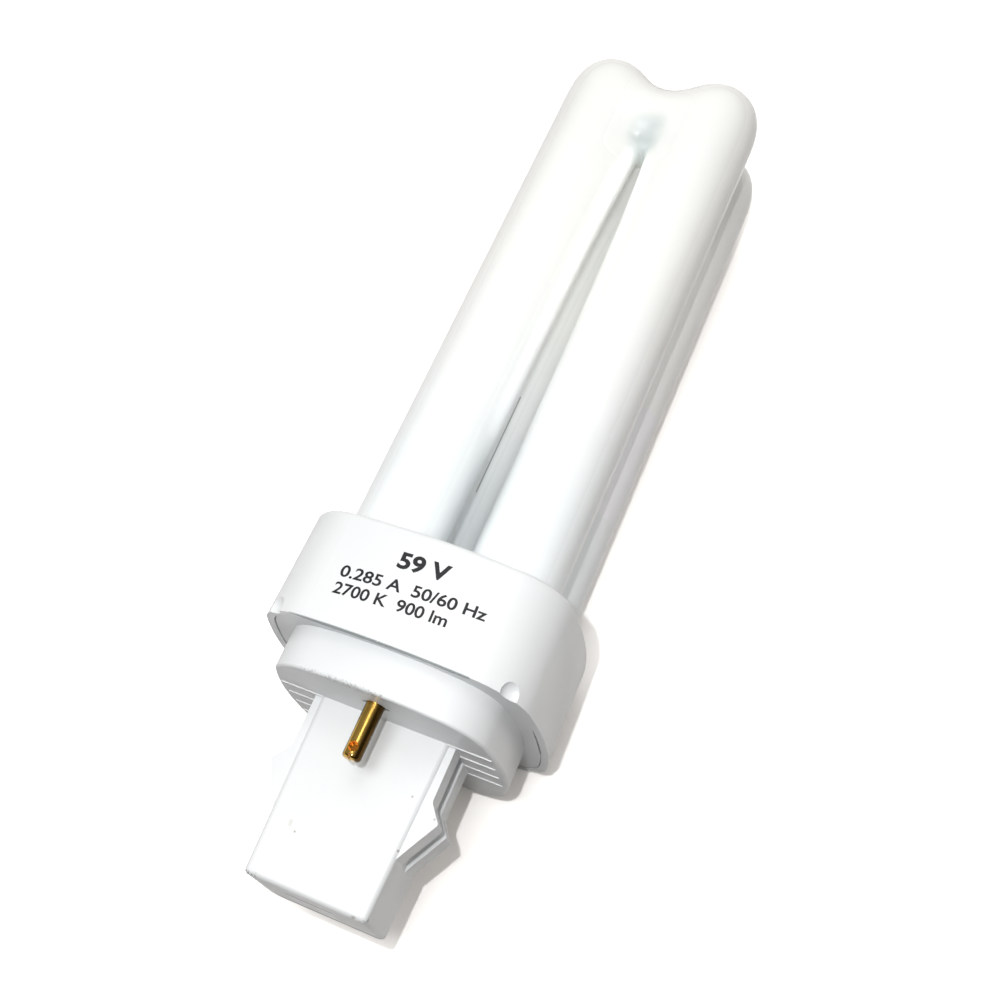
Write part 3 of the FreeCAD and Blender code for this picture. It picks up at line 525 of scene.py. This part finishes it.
@dataclass
class TwinTubes:
    """Two U-shaped tubes, each with a moulded bend at its tip, joined by one small bridge.

    The tubes are drawn as a cage that Subdivision Surface makes smooth. Heights run along y from
    the cap's underside.
    """

    radius: float = 6.15
    offset_x: float = 8.0
    offset_z: float = 7.3
    foot: float = 10.2
    foot_rings: tuple[tuple[float, float], ...] = ((0.0, 0.55), (0.0, 0.86), (0.9, 1.0), (5.0, 1.0))
    leg_rings: tuple[float, ...] = (50.0, 78.0, 85.0, 88.0, 91.1, 94.2)
    shoulder: tuple[float, float] = (96.8, 0.985)  # height, and radius as a share of the leg's
    dome: float = 95.95
    dome_rings: tuple[tuple[float, float], ...] = ((34.0, 0.99), (63.0, 1.0))  # degrees, share
    wall: float = 0.85
    opening_foot: float = 88.0
    opening_top: float = 0.62  # above the dome's centre, as a share of the radius
    opening_angle: float = 66.0  # degrees to either side of straight inwards
    bend_centre: float = 94.2
    bend_rise: float = 4.5
    bend_drop: float = 6.6
    bend_depth: float = 5.2
    bend_margin: float = 1.02  # a cage's ring stands a little outside the smooth one
    pinch: float = 0.72  # how soon the bend draws in, on its way from a leg to the middle
    swell_from: float = 60.0
    swell_most: float = 1.35
    bridge_height: float = 26.5
    bridge_half: float = 2.9
    bridge_ring: float = 1.7  # from the bridge's middle to the leg's rings above and below it
    bridge_reach: float = 1.0
    bridge_back: float = 0.9  # share of the radius behind which a face may open to the bridge
    sides: int = 12

    def cage_factor(self) -> float:
        """How much wider a ring of the cage is than the smooth ring that it gives."""
        return 6.0 / (4.0 + 2.0 * math.cos(2 * math.pi / self.sides))

    def levels(self) -> list[tuple[float, float]]:
        """Lists the rings of one leg, from foot to tip.

        Returns:
            Each ring's height and radius.
        """
        wide = self.radius * self.cage_factor()
        arc = wide * self.cage_factor()
        foot = [(self.foot + rise, share * wide) for rise, share in self.foot_rings]
        bridged = [
            (self.bridge_height - self.bridge_ring, wide),
            (self.bridge_height + self.bridge_ring, wide)]
        leg = [(height, wide) for height in self.leg_rings]
        shoulder = [(self.shoulder[0], self.shoulder[1] * wide)]
        dome = [
            (self.dome + arc * math.sin(math.radians(angle)),
             arc * math.cos(math.radians(angle)) * share)
            for angle, share in self.dome_rings]
        return foot + bridged + leg + shoulder + dome

    def leg(self, bm: bmesh.types.BMesh) -> None:
        """Draws the front left leg as a closed cage of rings.

        Args:
            bm: Empty mesh that the leg goes into.
        """
        levels = self.levels()
        height, radius = levels[0]
        place = Matrix.Translation((-self.offset_x, height, self.offset_z))
        turned = Matrix.Rotation(math.pi / 2, 4, "X") @ Matrix.Rotation(math.pi / self.sides, 4, "Z")
        made = bmesh.ops.create_circle(bm, segments=self.sides, radius=radius, matrix=place @ turned)
        ring = made["verts"]
        edges = list({edge for vert in ring for edge in vert.link_edges})
        bmesh.ops.contextual_create(bm, geom=edges)
        for next_height, next_radius in levels[1:]:
            grown = bmesh.ops.extrude_edge_only(bm, edges=edges)["geom"]
            ring = [item for item in grown if isinstance(item, bmesh.types.BMVert)]
            edges = [item for item in grown if isinstance(item, bmesh.types.BMEdge)]
            share = next_radius / radius
            axis = Matrix.Translation((self.offset_x, -height, -self.offset_z))
            bmesh.ops.scale(bm, verts=ring, vec=(share, 1.0, share), space=axis)
            bmesh.ops.translate(bm, verts=ring, vec=(0.0, next_height - height, 0.0))
            height, radius = next_height, next_radius
        bmesh.ops.contextual_create(bm, geom=edges)
        for vert in bm.verts:
            inwards = max(0.0, (vert.co.x + self.offset_x) / self.radius)
            vert.co.x += self.swell(vert.co.y) * inwards ** 2

    def swell(self, height: float) -> float:
        """Says how far the inner side of a leg bulges towards the other leg, up to the bend.

        Args:
            height: Height along the leg.

        Returns:
            The bulge in millimetres.
        """
        start, end = self.swell_from, self.bend_centre - self.bend_drop
        share = min(1.0, max(0.0, (height - start) / (end - start)))
        return self.swell_most * share ** 2 if height < self.dome else 0.0

    def open_patch(
            self, bm: bmesh.types.BMesh,
            wanted: Callable[[Vector], bool]) -> list[bmesh.types.BMEdge]:
        """Takes away the faces that a test picks.

        Args:
            bm: Mesh of the leg.
            wanted: Test of a face's middle.

        Returns:
            The hole's edges.
        """
        faces = [face for face in bm.faces if wanted(face.calc_center_median())]
        bmesh.ops.delete(bm, geom=faces, context="FACES")
        return [edge for edge in bm.edges if edge.is_boundary]

    def bend(self, bm: bmesh.types.BMesh) -> None:
        """Opens the leg's inner side at the tip and draws half of the bend to the middle.

        Args:
            bm: Mesh of the leg.
        """
        low, high = self.opening_foot, self.dome + self.radius * self.opening_top
        reach = math.cos(math.radians(self.opening_angle))

        def faces_inwards(point: Vector) -> bool:
            """Whether a point is on the leg's inner side, where the bend leaves it."""
            across = Vector((point.x + self.offset_x, point.z - self.offset_z))
            return low < point.y < high and across.length > 0 and across.x / across.length > reach

        edges = self.open_patch(bm, faces_inwards)
        for share in (0.5, 1.0):
            grown = bmesh.ops.extrude_edge_only(bm, edges=edges)["geom"]
            edges = [item for item in grown if isinstance(item, bmesh.types.BMEdge)]
            for vert in (item for item in grown if isinstance(item, bmesh.types.BMVert)):
                rise, depth = vert.co.y - self.bend_centre, vert.co.z - self.offset_z
                angle = math.atan2(depth, rise)
                along = self.bend_rise if rise > 0 else self.bend_drop
                target = Vector((
                    0.0, self.bend_centre + along * math.cos(angle) * self.bend_margin,
                    self.offset_z + self.bend_depth * math.sin(angle) * self.bend_margin))
                if share == 1.0:
                    vert.co = target
                else:
                    near = vert.co.lerp(target, self.pinch)
                    vert.co = Vector((vert.co.x + (target.x - vert.co.x) * share, near.y, near.z))

    def bridge(self, bm: bmesh.types.BMesh) -> None:
        """Opens the left leg's back and draws half of the bridge to the lamp's middle.

        Args:
            bm: Mesh of the front pair of legs.
        """
        def faces_back(point: Vector) -> bool:
            """Whether a point is on the left leg's back, where the bridge leaves it."""
            level = point.x < 0 and abs(point.y - self.bridge_height) < self.bridge_reach
            return level and point.z < self.offset_z - self.bridge_back * self.radius

        edges = self.open_patch(bm, faces_back)
        grown = bmesh.ops.extrude_edge_only(bm, edges=edges)["geom"]
        for vert in (item for item in grown if isinstance(item, bmesh.types.BMVert)):
            side = math.copysign(self.bridge_half, vert.co.x + self.offset_x)
            rise = math.copysign(self.bridge_half, vert.co.y - self.bridge_height)
            vert.co = Vector((-self.offset_x + side, self.bridge_height + rise, 0.0))

    def mirror(self, bm: bmesh.types.BMesh, axis: str) -> None:
        """Repeats the mesh on the other side of a middle plane and joins it there."""
        geometry = bm.verts[:] + bm.edges[:] + bm.faces[:]
        bmesh.ops.mirror(bm, geom=geometry, axis=axis, merge_dist=WELD)

    def cage(self) -> bmesh.types.BMesh:
        """Draws the whole cage.

        Returns:
            One leg with its half bend, mirrored across, bridged, and mirrored to the back.
        """
        bm = bmesh.new()
        self.leg(bm)
        self.bend(bm)
        self.mirror(bm, "X")
        self.bridge(bm)
        self.mirror(bm, "Z")
        bmesh.ops.recalc_face_normals(bm, faces=bm.faces)
        return bm

    def build(self, glass: bpy.types.Material, coat: bpy.types.Material) -> list[bpy.types.Object]:
        """Makes the glass shell and the coat inside it.

        Args:
            glass: Finish of the shell.
            coat: Finish of the coat.

        Returns:
            The shell and the coat.
        """
        shell = place_piece("tube_glass", self.cage(), glass)
        powder = place_piece("tube_phosphor", self.cage(), coat)
        for piece in (shell, powder):
            smooth = piece.modifiers.new("smooth", "SUBSURF")
            smooth.levels = smooth.render_levels = 2
        inset = powder.modifiers.new("inset", "DISPLACE")
        inset.strength, inset.mid_level = -self.wall * MM, 0.0
        # The coat is lit as if it were bare: light that the glass bends would reach it as noise.
        shell.visible_shadow = shell.visible_diffuse = False
        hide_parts("discharge_tube")
        return [shell, powder]


@dataclass(frozen=True)
class Figures:
    """One row of printed figures: its text, middle, height of a capital, width and boldness."""

    text: str
    x: float
    y: float
    height: float
    width: float
    weight: float


@dataclass
class CollarPrint:
    """Plain rating figures printed a little askew on the collar's front, along its bulge."""

    rows: tuple[Figures, ...] = (
        Figures("59 V", 0.45, -24.35, 2.2, 6.4, 0.075),
        Figures("0.285 A  50/60 Hz", 0.35, -27.55, 1.55, 18.4, 0.03),
        Figures("2700 K  900 lm", -1.5, -29.85, 1.55, 14.4, 0.03),
    )
    slant: float = 2.2  # degrees
    thickness: float = 0.01
    type_size: float = 10.0  # size at which a row is set, before it gets its own
    longest_edge: float = 0.6  # a longer edge is cut, so that it can follow the bulge
    cuts: int = 2
    drop_from: float = 60.0  # height from which the figures are let down on the collar

    def row(self, figures: Figures) -> bmesh.types.BMesh:
        """Draws one row flat, at its size and place.

        Args:
            figures: The row's text and measures.

        Returns:
            The row's mesh, in millimetres.
        """
        curve = bpy.data.curves.new("figures", "FONT")
        curve.body = figures.text
        curve.size = self.type_size
        curve.offset = figures.weight * self.type_size / figures.height
        holder = bpy.data.objects.new("figures", curve)
        bpy.context.scene.collection.objects.link(holder)
        drawn = holder.evaluated_get(bpy.context.evaluated_depsgraph_get())
        flat = bpy.data.meshes.new_from_object(drawn)
        bpy.data.objects.remove(holder)
        bm = bmesh.new()
        bm.from_mesh(flat)
        bpy.data.meshes.remove(flat)
        low = Vector((min(vert.co.x for vert in bm.verts), min(vert.co.y for vert in bm.verts), 0.0))
        high = Vector((max(vert.co.x for vert in bm.verts), max(vert.co.y for vert in bm.verts), 0.0))
        size = Vector((figures.width / (high.x - low.x), figures.height / (high.y - low.y), 1.0))
        turn = Matrix.Rotation(math.radians(self.slant), 3, "Z")
        bmesh.ops.translate(bm, verts=bm.verts, vec=-(low + high) / 2)
        bmesh.ops.scale(bm, verts=bm.verts, vec=size)
        bmesh.ops.rotate(bm, verts=bm.verts, matrix=turn)
        bmesh.ops.translate(bm, verts=bm.verts, vec=(figures.x, figures.y + ROW_SHIFT, 0.0))
        return bm

    def build(self, ink: bpy.types.Material) -> bpy.types.Object:
        """Sets the rows of figures as one thin mesh on the collar.

        Args:
            ink: Finish of the figures.

        Returns:
            The printed piece.
        """
        bm = bmesh.new()
        for figures in self.rows:
            drawn = self.row(figures)
            flat = bpy.data.meshes.new("row")
            drawn.to_mesh(flat)
            drawn.free()
            bm.from_mesh(flat)
            bpy.data.meshes.remove(flat)
        bmesh.ops.triangulate(bm, faces=bm.faces)
        bmesh.ops.remove_doubles(bm, verts=bm.verts, dist=WELD)
        long_edges = [edge for edge in bm.edges if edge.calc_length() > self.longest_edge]
        bmesh.ops.subdivide_edges(bm, edges=long_edges, cuts=self.cuts)
        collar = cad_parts["collar"]
        under = BVHTree.FromPolygons(
            [collar.matrix_world @ vert.co for vert in collar.data.vertices],
            [face.vertices for face in collar.data.polygons])
        for vert in bm.verts:
            above = Vector((vert.co.x, vert.co.y - ROW_SHIFT, self.drop_from)) * MM
            hit = under.ray_cast(above, Vector((0.0, 0.0, -1.0)))[0]
            vert.co.z = hit.z / MM - CENTRE_Z + self.thickness
        return place_piece("collar_print", bm, ink)


@dataclass
class Studio:
    """The photograph's camera, a pale floor, a plain sky and the lamps.

    A room light and a ceiling light hang above, and the camera's own flash is beside the lens. Two
    faint lamps that no view shows stand for light that spreads through the real, thin coat: one
    fills the gap between the front legs and one lights the back right leg's flank. Places are in
    millimetres of the row frame. Distances and the lamps' sizes are in metres.
    """

    eye: Point = (49.53, -74.485, 184.86)
    right: Point = (0.9147, 0.3879, -0.1129)
    up: Point = (-0.3039, 0.8448, 0.4404)
    forward: Point = (-0.2662, 0.3685, -0.8907)
    lens: float = 50.64
    sensor: float = 36.0
    clip_start: float = 0.005
    clip_end: float = 20.0
    sky: float = 0.66
    mirrored_sky: float = 0.32
    bright_side: Point = (-0.12, 0.87, 0.47)
    sky_dark: str = "38404a"
    sky_bright: str = "fffcf8"
    sky_from: float = -0.7  # how far a direction faces the bright side where the sky is darkest
    sky_to: float = 0.6  # and where it is brightest
    lamp_from: Point = (-0.10, -0.14, 0.98)
    lamp_distance: float = 1.1
    lamp_size: float = 0.4
    lamp_power: float = 3.5
    ceiling_from: Point = (0.0, 0.30, 0.954)
    ceiling_distance: float = 1.0
    ceiling_size: float = 0.42
    ceiling_power: float = 1.15
    flash_at: Point = (26.6, -64.6, 185.1)
    flash_aim: Point = (2.0, -8.0, 20.0)
    flash_size: float = 0.0045
    flash_power: float = 0.112
    seep_at: Point = (0.0, 23.0, 28.5)
    seep_width: float = 0.0026
    seep_length: float = 0.048
    seep_power: float = 0.00074
    flank_at: Point = (13.4, 14.0, 21.2)
    flank_back: Point = (2.4, 0.0, 5.0)
    flank_length: float = 0.066
    flank_power: float = 0.00042
    floor_half: float = 3.0
    floor_drop: float = 0.00002  # keeps the floor from sharing a plane with the lamp's lowest point
    paper_lit: str = "8c8782"  # the floor's colour to the light that it throws back
    white: str = "ffffff"
    paper_seen: Colour = (1.53, 1.51, 1.49, 1.0)  # and to the eye, white where no shadow falls

    def build(self) -> None:
        """Sets up the view, the floor and the light."""
        scene = bpy.context.scene
        scene.view_settings.view_transform = "Standard"
        self.add_camera(scene)
        self.add_floor(scene)
        above = Vector(self.lamp_from).normalized()
        self.add_lamp(
            scene, "room_light", above * self.lamp_distance, above,
            self.lamp_size, self.lamp_power)
        ceiling = Vector(self.ceiling_from)
        self.add_lamp(
            scene, "ceiling_light", ceiling * self.ceiling_distance, ceiling,
            self.ceiling_size, self.ceiling_power)
        self.add_lamp(
            scene, "light_through_the_coat", Vector(self.seep_at) * MM, Vector((0.0, 0.0, 1.0)),
            self.seep_width, self.seep_power, self.seep_length)
        self.add_lamp(
            scene, "light_by_the_back_leg", Vector(self.flank_at) * MM, Vector(self.flank_back),
            self.seep_width, self.flank_power, self.flank_length)
        flash = Vector(self.flash_at)
        self.add_lamp(
            scene, "flash", flash * MM, flash - Vector(self.flash_aim),
            self.flash_size, self.flash_power)
        self.add_sky(scene)

    def add_camera(self, scene: bpy.types.Scene) -> None:
        """Stands the camera where the photograph was taken.

        Args:
            scene: Scene that the camera goes into.
        """
        camera = bpy.data.cameras.new("photo_camera")
        camera.lens, camera.sensor_width, camera.sensor_fit = self.lens, self.sensor, "HORIZONTAL"
        camera.clip_start, camera.clip_end = self.clip_start, self.clip_end
        holder = bpy.data.objects.new("photo_camera", camera)
        back = -Vector(self.forward)
        turn = Matrix((self.right, self.up, back)).transposed().to_4x4()
        holder.matrix_world = Matrix.Translation(Vector(self.eye) * MM) @ turn
        scene.collection.objects.link(holder)
        scene.camera = holder

    def add_floor(self, scene: bpy.types.Scene) -> None:
        """Lays a pale floor that is whiter to the eye than to the light that it throws back.

        Args:
            scene: Scene that the floor goes into.
        """
        bm = bmesh.new()
        bmesh.ops.create_grid(bm, x_segments=1, y_segments=1, size=self.floor_half)
        bmesh.ops.translate(bm, verts=bm.verts, vec=(0.0, 0.0, -self.floor_drop))
        mesh = bpy.data.meshes.new("floor")
        bm.to_mesh(mesh)
        bm.free()
        floor = bpy.data.objects.new("floor", mesh)
        scene.collection.objects.link(floor)
        # White paper: flat and matt, so that the lamp's shadow on it stays plain.
        material = blank_material("pale_paper")
        tree = material.node_tree
        path = add_node(tree, "ShaderNodeLightPath")
        mirrored = add_node(tree, "ShaderNodeMix", {
            0: path.outputs["Is Glossy Ray"], 6: linear(self.paper_lit), 7: linear(self.white)},
            data_type="RGBA")
        seen = add_node(tree, "ShaderNodeMath", {
            0: path.outputs["Is Camera Ray"], 1: path.outputs["Is Transmission Ray"]},
            operation="MAXIMUM")
        colour = add_node(tree, "ShaderNodeMix", {
            0: seen.outputs[0], 6: mirrored.outputs[2], 7: self.paper_seen}, data_type="RGBA")
        shader = add_node(tree, "ShaderNodeBsdfDiffuse", {"Color": colour.outputs[2]})
        add_node(tree, "ShaderNodeOutputMaterial", {"Surface": shader.outputs[0]})
        mesh.materials.append(material)

    def add_lamp(
            self, scene: bpy.types.Scene, name: str, place: Vector, back: Vector, size: float,
            power: float, length: float = 0.0) -> None:
        """Hangs a round lamp, or an oblong one that lies along the tubes and isn't seen itself.

        Args:
            scene: Scene that the lamp goes into.
            name: Name of the lamp.
            place: Where it hangs, in metres.
            back: Direction from what it lights back to it.
            size: Diameter or width in metres.
            power: Power in watts.
            length: Length along the tubes in metres, for an oblong one.
        """
        light = bpy.data.lights.new(name, "AREA")
        light.shape, light.size, light.energy = "DISK", size, power
        holder = bpy.data.objects.new(name, light)
        if length:
            light.shape, light.size_y = "RECTANGLE", length
            holder.visible_camera = holder.visible_glossy = holder.visible_transmission = False
        holder.location = place
        back = back.normalized()
        across = Vector((0.0, 1.0, 0.0)).cross(back).normalized()
        holder.rotation_euler = Matrix((across, back.cross(across), back)).transposed().to_euler()
        scene.collection.objects.link(holder)

    def add_sky(self, scene: bpy.types.Scene) -> None:
        """Sets a sky that fills the shadows from a brighter and a darker side.

        It is dimmer in reflections and white to the eye.

        Args:
            scene: Scene that the sky goes over.
        """
        world = bpy.data.worlds.new("plain_sky")
        world.use_nodes = True
        tree = world.node_tree
        tree.nodes.clear()
        path = add_node(tree, "ShaderNodeLightPath")
        dimmed = add_node(tree, "ShaderNodeMapRange", {
            "Value": path.outputs["Is Glossy Ray"], "To Min": self.sky, "To Max": self.mirrored_sky})
        strength = add_node(tree, "ShaderNodeMapRange", {
            "Value": path.outputs["Is Camera Ray"], "To Min": dimmed.outputs["Result"],
            "To Max": 1.0})
        direction = add_node(tree, "ShaderNodeTexCoord").outputs["Generated"]
        aim = add_node(
            tree, "ShaderNodeVectorMath", {0: direction, 1: self.bright_side},
            operation="DOT_PRODUCT")
        side = add_node(tree, "ShaderNodeMapRange", {
            "Value": aim.outputs["Value"], "From Min": self.sky_from, "From Max": self.sky_to})
        tint = add_node(tree, "ShaderNodeMix", {
            0: side.outputs["Result"], 6: linear(self.sky_dark), 7: linear(self.sky_bright)},
            data_type="RGBA")
        seen = add_node(tree, "ShaderNodeMix", {
            0: path.outputs["Is Camera Ray"], 6: tint.outputs[2], 7: linear(self.white)},
            data_type="RGBA")
        back = add_node(tree, "ShaderNodeBackground", {
            "Color": seen.outputs[2], "Strength": strength.outputs["Result"]})
        add_node(tree, "ShaderNodeOutputWorld", {"Surface": back.outputs[0]})
        scene.world = world


CAP_STAINS_AND_SHADE = (
    # Dirt along the body's lower rim.
    StainOrShade((-11.0, -40.2, 34.1), (2.0, -39.8, 35.2), 0.35, 0.3, 0.46, "babcbc"),
    StainOrShade((-5.5, -40.2, 33.6), (-1.0, -39.9, 34.6), 0.4, 0.4, 0.35, "babcbc"),
    # A fine crack at the flange's right edge, and painted shade in a ring round the pin's root.
    StainOrShade((17.0, -34.8, 12.5), (17.35, -34.4, 26.0), 0.1, 1.2, 1.4, "4a4844", 0.15),
    StainOrShade((-1.6, -40.2, 30.0), (1.6, -39.6, 30.3), 0.25, 0.6, 1.4, "55534e", 0.15),
    # Specks on the catch and the key, and a pale scuff beside one of them.
    StainOrShade((10.42, -48.66, 23.8), (10.46, -48.62, 24.6), 0.18, 1.0, 1.4, "a2a29f"),
    StainOrShade((-4.23, -56.02, 24.3), (-4.2, -56.0, 25.0), 0.16, 1.0, 1.4, "8d8b86"),
    StainOrShade((-5.2, -55.5, 24.3), (-5.1, -55.0, 25.0), 0.25, 0.5, 1.0, "d5d5d0", 0.3),
    StainOrShade((7.0, -47.23, 24.3), (7.03, -47.2, 25.0), 0.16, 1.0, 1.4, "8d8a85"),
    StainOrShade((8.0, -53.56, 23.4), (8.03, -53.5, 25.0), 0.18, 1.0, 1.4, "96948f"),
    # A pale patch between two fine lines on the key's end, and a darker line of painted shade along
    # its rounded lower edge.
    StainOrShade((-3.4, -62.6, 12.8), (1.9, -62.2, 18.6), 0.5, 2.0, 1.4, "fafdff", 0.6),
    StainOrShade((-3.6, -62.6, 19.4), (2.4, -62.2, 19.9), 0.2, 2.0, 1.4, "8f9496", 0.3),
    StainOrShade((-3.6, -62.6, 11.2), (2.4, -62.2, 11.8), 0.2, 2.0, 1.4, "8f9496", 0.3),
    StainOrShade((-8.2, -62.6, 10.6), (8.2, -61.8, 12.8), 0.4, 2.0, 1.4, "8b8b85", 0.1),
    # A nick at the key's right corner, and grime at both corners.
    StainOrShade((7.75, -61.9, 23.6), (7.9, -61.7, 24.0), 0.15, 1.0, 1.4, "72726d", 0.1),
    StainOrShade((6.2, -62.6, 23.9), (7.7, -62.0, 24.7), 0.25, 0.35, 0.45, "a6a7a4"),
    StainOrShade((-8.2, -62.6, 23.7), (-6.2, -62.1, 24.6), 0.25, 0.3, 0.45, "a0a29e"),
    # Painted shade in the grooves of the two catches, under their front plates.
    StainOrShade((-11.4, -60.0, 19.2), (-8.7, -41.0, 20.4), 0.5, 3.0, 1.4, "cbc7bf", 0.3),
    StainOrShade((8.7, -60.0, 19.2), (11.4, -41.0, 20.4), 0.5, 3.0, 1.4, "cbc7bf", 0.3),
)
COLLAR_SHADE_AND_GRIME = (
    # Painted shade on the end face of the collar's rim along its lower edge, with some grime.
    StainOrShade((-13.0, -34.72, 35.9), (10.5, -34.66, 37.6), 0.14, 1.2, 1.3, "9aa1a3"),
)
COAT_STAINS_AND_SHADE = (
    # Painted shade in the dent of the front bend.
    StainOrShade((-0.7, 48.8, 26.0), (0.9, 51.0, 32.0), 2.6, 3.0, 1.4, "d6dddd"),
    # A fine line on the back left leg, seen through the gap between the front legs.
    StainOrShade((-4.74, -4.5, 15.0), (-4.7, 11.2, 16.0), 0.07, 6.0, 1.4, "a3a5a3"),
    # A thin patch on the back right leg's flank, and a speck on the front right leg.
    StainOrShade((11.2, -1.0, 11.6), (14.2, 15.4, 15.4), 0.5, 5.0, 1.4, "f9f9ff", 2.5),
    StainOrShade((11.3, 6.1, 28.6), (11.4, 6.3, 29.8), 0.15, 0.5, 1.4, "b9b6b2"),
)
PIN_STAINS_AND_SHADE = (
    # Painted shade on the pin's flanks, and the coppery floor of its crimp dimple.
    StainOrShade((0.72, -48.0, 20.0), (1.4, -39.9, 34.0), 0.4, 1.0, 1.4, "4f3a18"),
    StainOrShade((-1.4, -48.0, 20.0), (-0.95, -39.9, 34.0), 0.2, 1.0, 1.4, "3a2a10"),
    StainOrShade((-0.55, -46.1, 29.8), (0.55, -44.9, 31.0), 0.1, 1.0, 1.4, "b9762c"),
)


def main() -> None:
    """Builds and dresses the lamp, piece by piece."""
    logging.basicConfig(level=logging.INFO, format="%(message)s")
    # Satin white with soft, blurred lights. The collar's tool was a little smoother.
    cap = MouldedPlastic("moulded_cap_plastic", stains_and_shade=CAP_STAINS_AND_SHADE).build()
    collar = MouldedPlastic("moulded_collar_plastic", roughness=0.34, stains_and_shade=COLLAR_SHADE_AND_GRIME).build()
    # Warm yellow, with a sharp bright streak between flanks darkened by painted shade.
    brass = DrawnMetal(
        "drawn_brass", "dfb75e", "b98f43", roughness=0.15, line_depth=0.0008, patch=2.5,
        stains_and_shade=PIN_STAINS_AND_SHADE).build()
    # Silvery and a little dull, from the tin on the wire and the nickel on the ferrules.
    wire = DrawnMetal("tinned_wire", "b9b7b2", "8d8a84", 0.3, 0.08, 0.002, 1.0).build()
    ferrule = DrawnMetal("crimped_nickel", "c3c1bc", "98958e", 0.28, 0.15, 0.004, 1.2).build()
    # Chalky cement, shiny brown resin, the starter's smooth grey-green glass, and flat black ink.
    cement = BlotchedFinish("lamp_cement", "e6e3da", "d2cec2").build()
    resin = BlotchedFinish("dipped_resin", "8a4a2c", "743a20", 0.35, 1.5, 0.05).build()
    starter = BlotchedFinish("starter_bulb_glass", "d8dedd", "c6cecd", 0.12, 2.5, 0.01).build()
    ink = BlotchedFinish("printed_ink", "0e0f12", "1c1e22", 0.6, 0.3, 0.002).build()
    finishes = {
        Slot.CAP: cap, Slot.COLLAR: collar, Slot.BRASS: brass, Slot.WIRE: wire,
        Slot.FERRULE: ferrule, Slot.CEMENT: cement, Slot.CAPACITOR: resin, Slot.STARTER: starter}
    for name in sorted(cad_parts):
        for start, slot in NODE_SLOTS.items():
            if name.startswith(start):
                dress_node(name, finishes[slot])
                LOG.info("dressed %s", name)
    glass = ClearGlass().build()
    coat = PhosphorCoat(stains_and_shade=COAT_STAINS_AND_SHADE).build()
    for piece in TwinTubes().build(glass, coat):
        LOG.info("built %s", piece.name)
    LOG.info("built %s", CollarPrint().build(ink).name)
    Studio().build()


if __name__ == "__main__":
    main()
